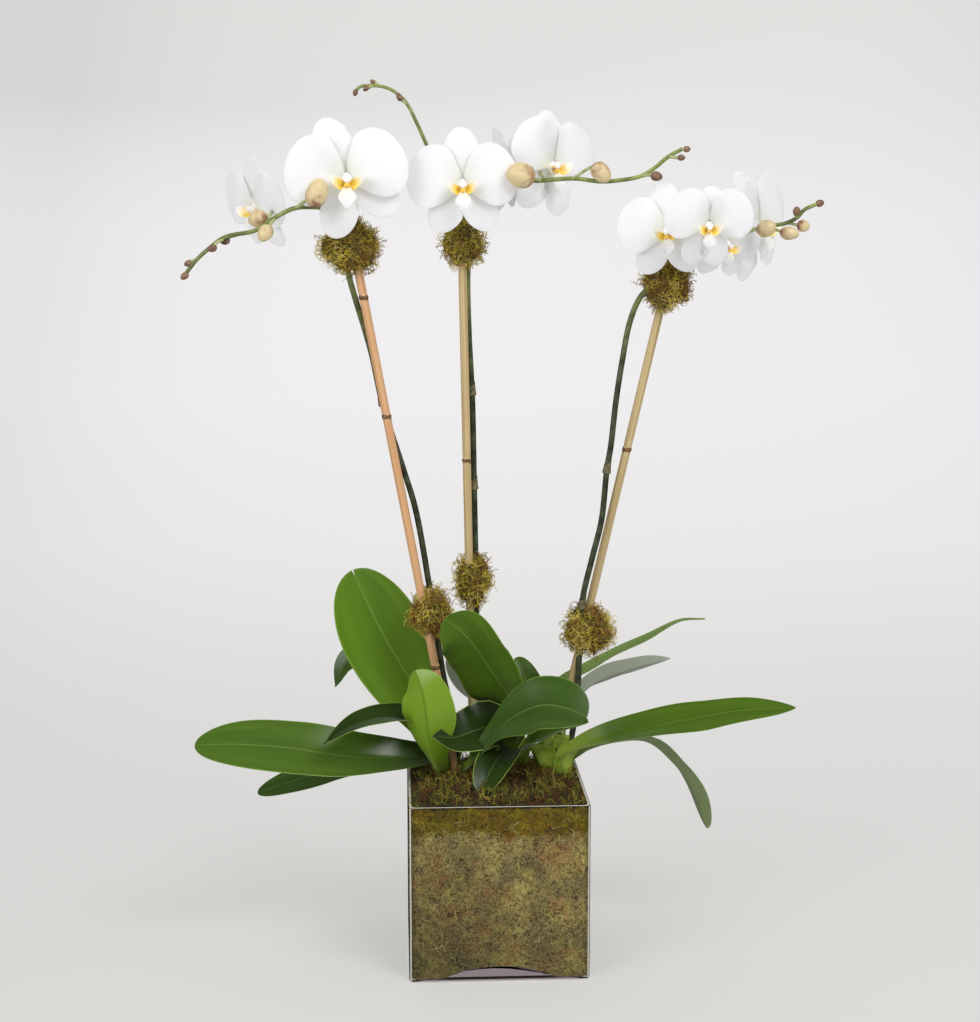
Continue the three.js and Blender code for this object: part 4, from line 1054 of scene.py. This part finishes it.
def add_bud(bm, bud):
    """An egg-shaped bud, blunt at its stalk, with the three seams of its closed sepals."""
    wide, long = bud["radii"]

    def profile(x, y):
        turn = math.pi * y
        radius = wide * math.sin(turn) * (1 + 0.12 * math.cos(turn))
        seam = 0.07 * math.exp(-((((3 * x) % 1) - 0.5) / 0.09) ** 2) * math.sin(turn)
        return radius * (1 - seam), -long * math.cos(turn)

    turned(bm, bud["at"], bud["aim"], profile, 30, 16, slot=2 if wide > 4.5 else 4)


def add_bract(bm, path, share, radius):
    """The dry scale leaf that clasps a joint of the stem, with its point standing off a little."""
    point, way = Trail(path).at(share)
    heights = [-3.5, -3.5, -2.5, 0, 2.5, 4.5, 2.5, 0, -2.5]
    outs = [0, 1.45, 1.5, 1.35, 1.22, 1.2, 1.1, 1.05, 0]
    rows = len(outs) - 1

    def profile(x, y):
        ring = round(y * rows)
        reach = 1 + 0.9 * max(0, math.cos(2 * math.pi * x)) if 3 < ring < 7 else 1
        height = heights[ring] if ring in (0, rows) else heights[ring] * reach
        return radius * outs[ring], height

    turned(bm, point, way, profile, 14, rows, slot=1)


def make_spike(stem):
    """A flower stem with its bracts and spray, and the stalks of its blooms and buds."""
    bm = bmesh.new()
    tube(bm, stem["path"], STEM_RADIUS, 12, 130, swell=lambda s: 1.08 - 0.1 * s)
    tube(bm, stem["spray"], SPRAY_RADIUS, 10, 90, swell=lambda s: 1.1 - 0.28 * s)
    for share in stem["joints"]:
        add_bract(bm, stem["path"], share, STEM_RADIUS)
    if "side" in stem:
        tube(bm, stem["side"], SPRAY_RADIUS, 10, 80, swell=lambda s: 0.95 - 0.25 * s)
    for bud in stem["buds"]:
        tube(bm, [*bud["stalk"], bud["at"]], STALK_RADIUS, 8, 10, slot=3)
        add_bud(bm, bud)
    for bloom in BLOOMS:
        if bloom["name"].startswith(stem["blooms"]):
            tube(bm, stalk_path(bloom), STALK_RADIUS, 10, 22, slot=3,
                 swell=lambda s: 1 + 0.25 * s)
    add_piece(bm, stem["name"].replace("spike", "flower_stem"), stem["name"],
              [STEM, BRACT, BUD, STALK_GREEN, SMALL_BUD])


for stem in STEMS:
    make_spike(stem)


# Leaves

def outline(s, peak, root, power=2.2, slow=1, taper=0.5):
    """Half width of a leaf or petal as a share of its widest. slow keeps its root narrow. Its tip
    is round at a taper of 0.5 and pointed at 1."""
    if s < peak:
        return mix(root, 1, math.sin(math.pi / 2 * s / peak) ** slow)
    return max(0.05, max(0, 1 - ((s - peak) / (1 - peak)) ** power) ** taper)


def make_leaf(leaf):
    """One leaf: folded along its midrib in a soft groove, with a gently waved edge."""
    midrib = Trail(leaf["path"])
    face_root, face_tip = (Vector(face) for face in leaf["face"])
    chance = random.Random(leaf["name"])
    waves, start = chance.uniform(2.2, 3.6), chance.uniform(0, 6)
    groove = 0.1
    notch = leaf.get("notch", 0) / midrib.length

    def middle(s, t):
        point, way = midrib.at(s * (1 - notch * max(0, 1 - 2.5 * abs(t)) * s**6))
        normal = face_root.lerp(face_tip, s)
        normal = (normal - way * normal.dot(way)).normalized()
        across = way.cross(normal)
        half = leaf["width"] / 2 * outline(s, leaf["peak"], leaf.get("root", 0.36), 2.2,
                                           leaf.get("slow", 1), leaf.get("taper", 0.5))
        fold = math.radians(mix(*leaf["fold"], min(1, s * 1.6)))
        bend = math.sqrt(t * t + groove * groove)
        lift = (bend - groove) * half * math.sin(fold)
        lift += 0.5 * t * t * math.sin(math.pi * s) * math.sin(waves * 6.3 * s + start + t)
        point = point + across * t * half * math.cos(fold) + normal * lift
        tilt = fold * t / bend
        return point, normal * math.cos(tilt) - across * math.sin(tilt)

    def thickness(s, t):
        rib = math.exp(-((t / 0.09) ** 2)) * LEAF_THICKNESS["rib"]
        flat = mix(LEAF_THICKNESS["middle"], LEAF_THICKNESS["edge"], abs(t))
        return (flat + rib) * (1 - 0.35 * s)

    bm = bmesh.new()
    blade(bm, middle, thickness, 56, 44)
    finish = LEAF_FINISHES[leaf.get("finish", "mid")]
    add_piece(bm, leaf["name"].replace("leaf", "leaf_blade", 1), leaf["name"], [finish], 60)


for leaf in LEAVES:
    make_leaf(leaf)


# Blooms

def add_tepal(bm, frame_of, part, angle, chance):
    """One petal or sepal: cupped, with a faint groove down its middle and a soft, waved edge."""
    turn = Matrix.Rotation(math.radians(-angle), 3, "Z")
    wave, start = chance.uniform(2.0, 3.2), chance.uniform(0, 6)

    def height(u, v):
        s = v / part["length"]
        lift = part["rise"] + part["arch"] * math.sin(math.pi * s) - part["recurve"] * s**3
        t = 2 * u / part["width"]
        lift -= part["crown"] * (u / 30) ** 2 + 0.5 * math.exp(-((t / 0.07) ** 2)) * (1 - s)
        return lift + 0.9 * t * t * math.sin(wave * 2 * math.pi * s + start)

    def middle(s, t):
        u = t * part["width"] / 2 * outline(s, part["peak"], part["claw"], part["round"])
        v = mix(TEPAL_START, part["length"], s)
        slope_u = height(u + 0.5, v) - height(u - 0.5, v)
        slope_v = height(u, v + 0.5) - height(u, v - 0.5)
        point = Vector((u, v, height(u, v)))
        normal = Vector((-slope_u, -slope_v, 1)).normalized()
        return frame_of(turn @ point), frame_of.turn(turn @ normal)

    blade(bm, middle, lambda s, t: PETAL_THICKNESS * frame_of.size, 40, 22)


class BloomFrame:
    """Puts points of a bloom's own frame, with x right, y up and z to its viewer, in place."""

    def __init__(self, bloom):
        front = Vector(bloom["looks"]).normalized()
        up = (UP - front * UP.dot(front)).normalized()
        up.rotate(Matrix.Rotation(math.radians(bloom["lean"]), 3, front))
        self.matrix = Matrix((up.cross(front), up, front)).transposed()
        self.size = bloom["size"]
        self.at = Vector(bloom["at"])

    def __call__(self, point):
        return self.at + self.matrix @ point * self.size

    def turn(self, way):
        return self.matrix @ way


def add_scoop(bm, frame_of, path, halves, folds, facing, slot, thick=0.9, rows=16):
    """A curved lobe along a path, folded up more or less along its length."""
    trail = Trail(path)
    facing = Vector(facing)

    def middle(s, t):
        point, way = trail.at(s)
        normal = (facing - way * facing.dot(way)).normalized()
        across = way.cross(normal)
        half, fold = along(halves, s), math.radians(along(folds, s))
        turn = fold * abs(t)
        point = point + across * t * half * math.cos(turn) + normal * abs(t) * half * math.sin(turn)
        tilt = fold * t
        return frame_of(point), frame_of.turn(normal * math.cos(tilt) - across * math.sin(tilt))

    blade(bm, middle, lambda s, t: thick * frame_of.size, 20, rows, slot)


def make_bloom(bloom):
    """Three sepals, two broad petals, the lip with its yellow side lobes, and the column."""
    frame_of = BloomFrame(bloom)
    chance = random.Random(bloom["name"])
    angles = bloom.get("angles", [part["angle"] for part in TEPALS])
    size = frame_of.size
    bm = bmesh.new()
    for part, angle in zip(TEPALS, angles):
        share = bloom.get("dorsal", 1) if part is TEPALS[0] else 1
        add_tepal(bm, frame_of, dict(part, length=part["length"] * share), angle, chance)
    # The middle lobe of the lip: a narrow claw, then an arrowhead with two short horns.
    add_scoop(bm, frame_of, [(0, -3, 1), (0, -8, 7), (0, -14, 10), (0, -21, 10), (0, -26, 8)],
              [2.4, 2.6, 3.2, 4.5, 7.6, 8.4, 5.5, 2.6, 0.8], [30, 30, 30, 25, 16, 20, 25, 30, 30],
              (0, 0.5, 1), 1)
    for side in (1, -1):
        add_scoop(bm, frame_of, [(1.5 * side, -3, 1), (7 * side, -5, 6), (12 * side, -2.5, 10.5),
                                 (14 * side, 2, 14)],
                  [2.2, 4.4, 6.0, 6.2, 5.0, 2.4], [18, 22, 26, 26, 24, 20],
                  (-0.9 * side, 0.3, 0.5), 2)
        tube(bm, [frame_of(Vector(point)) for point in
                  ((1.0 * side, -25, 8.4), (2.4 * side, -28.5, 8), (4.6 * side, -30, 9.6),
                   (5.4 * side, -28.6, 11.2))],
             0.45 * size, 6, 12, slot=1, swell=lambda s: 1 - 0.6 * s)
    # The callus between the side lobes, and the hub behind it that holds the sepals.
    turned(bm, frame_of(Vector((0, -5, 7.5))), frame_of.turn(Vector((0, -0.3, 1))),
           lambda x, y: (2.6 * size * math.sin(math.pi * y), -2.2 * size * math.cos(math.pi * y)),
           12, 8, slot=3)
    hub = [(0, HUB["back"]), (2.2, HUB["back"]), (4.6, HUB["back"] + 2.5), (6.2, -2), (6.2, 0),
           (3.6, HUB["front"] + 0.6), (2.8, 3.6), (2.9, 6), (3.3, 8.4), (3.0, 10), (1.8, 11),
           (0, 11.2)]
    rows = len(hub) - 1
    turned(bm, frame_of.at, frame_of.turn(UP),
           lambda x, y: tuple(size * part for part in hub[round(y * rows)]), 20, rows, slot=4)
    add_piece(bm, bloom["name"].replace("bloom", "orchid_bloom"), bloom["name"],
              [PETAL_WHITE, LIP_WHITE, LIP_YELLOW, LIP_ORANGE, COLUMN_WHITE], 70)


for bloom in BLOOMS:
    make_bloom(bloom)

for copies in SPRIGS:
    for sprig, _ in copies:
        bpy.data.meshes.remove(sprig)

root_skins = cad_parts["root_ball"].data.materials
root_skins.clear()
root_skins.append(BARK)


# The studio: a pale sweep, a soft key light, and the camera

def studio_paper():
    """Matte white paper that glows a little, most on the wall behind the plants, and fades towards
    the front and both sides."""
    paper = Finish("studio_paper", roughness=0.95, base_color="#9a9998")
    tree = paper.tree
    spot = add(tree, "SeparateXYZ", {0: paper.place}).outputs
    way_up = add(tree, "Math", {0: spot["Y"], 1: 0.25, 2: spot["Z"]}, operation="MULTIPLY_ADD")
    share = add(tree, "Math", {0: way_up, 1: 0.5}, operation="MULTIPLY")
    glow = add(tree, "ValToRGB", {"Fac": share},
               [(0.0, "#a4a3a0"), (0.12, "#b2b1af"), (0.25, "#bfbebd"), (0.42, "#c5c3c4"),
                (0.63, "#c5c3c4"), (0.82, "#bfbebc"), (1.0, "#bebdba")])
    aside = add(tree, "Math", {0: spot["X"], 1: -0.3}, operation="ADD")
    edge = add(tree, "Math", {0: aside, 1: 4.0}, operation="POWER")
    even = add(tree, "Math", {0: spot["X"], 1: 0.02, 2: 0.99}, operation="MULTIPLY_ADD")
    fade = add(tree, "Math", {0: edge, 1: -0.1, 2: even}, operation="MULTIPLY_ADD")
    held = add(tree, "Clamp", {"Value": fade, "Min": 0.82, "Max": 1.05})
    return paper.made(emission_color=glow, emission_strength=held)


def make_studio():
    """A pale floor that curves up into a pale wall all round."""
    reach, bend, top = 3400, 2400, 4200
    flat = reach - bend
    turns = [k * math.pi / 48 for k in range(1, 25)]
    marks = [(0, 0), (flat, 0)]
    marks += [(flat + bend * math.sin(turn), bend - bend * math.cos(turn)) for turn in turns]
    marks += [(reach, top)]
    rows = len(marks) - 1
    bm = bmesh.new()
    turned(bm, (0, 0, -0.2), UP, lambda x, y: marks[round(y * rows)], 96, rows)
    mesh = bpy.data.meshes.new("studio_sweep")
    bm.to_mesh(mesh)
    bm.free()
    mesh.shade_smooth()
    mesh.materials.append(studio_paper())
    sweep = bpy.data.objects.new("studio_sweep", mesh)
    bpy.context.scene.collection.objects.link(sweep)
    sweep.visible_diffuse = False
    sweep.visible_shadow = False
    sweep.visible_glossy = False
    return sweep


def add_light(name, at, aim, size, power, shines=True):
    """A soft square lamp that looks at a point. It makes highlights if it shines."""
    lamp = bpy.data.lights.new(name, "AREA")
    lamp.size = size
    lamp.energy = power
    light = bpy.data.objects.new(name, lamp)
    light.location = at
    light.rotation_euler = (Vector(aim) - Vector(at)).to_track_quat("-Z", "Y").to_euler()
    light.visible_glossy = shines
    light.visible_transmission = shines
    bpy.context.scene.collection.objects.link(light)
    return light


make_studio()
add_light("key_light", (1.1, -1.6, 2.2), (0, 0, 0.3), 1.2, 36)
add_light("fill_light", (-1.9, -1.8, 1.4), (0, 0, 0.4), 1.6, 31)
add_light("back_light", (-0.4, 2.2, 1.9), (0, 0, 0.4), 1.6, 12, False)
add_light("floor_light", (0.2, -0.3, -0.9), (0, 0, 0.4), 2.4, 11, False)

world = bpy.context.scene.world or bpy.data.worlds.new("studio")
bpy.context.scene.world = world
world.use_nodes = True
sky = world.node_tree.nodes["Background"].inputs
sky["Color"].default_value = srgb("#f4f5f7")
sky["Strength"].default_value = 0.6
world.cycles_visibility.glossy = False
bpy.context.scene.view_settings.view_transform = "Standard"

lens = bpy.data.cameras.new("camera")
lens.sensor_width = 36
lens.lens = 64.99
camera = bpy.data.objects.new("camera", lens)
camera.location = (-0.0838, -1.5541, 0.6203)
camera.rotation_euler = (math.pi / 2 - 0.147, 0, -0.051)
bpy.context.scene.collection.objects.link(camera)
bpy.context.scene.camera = camera
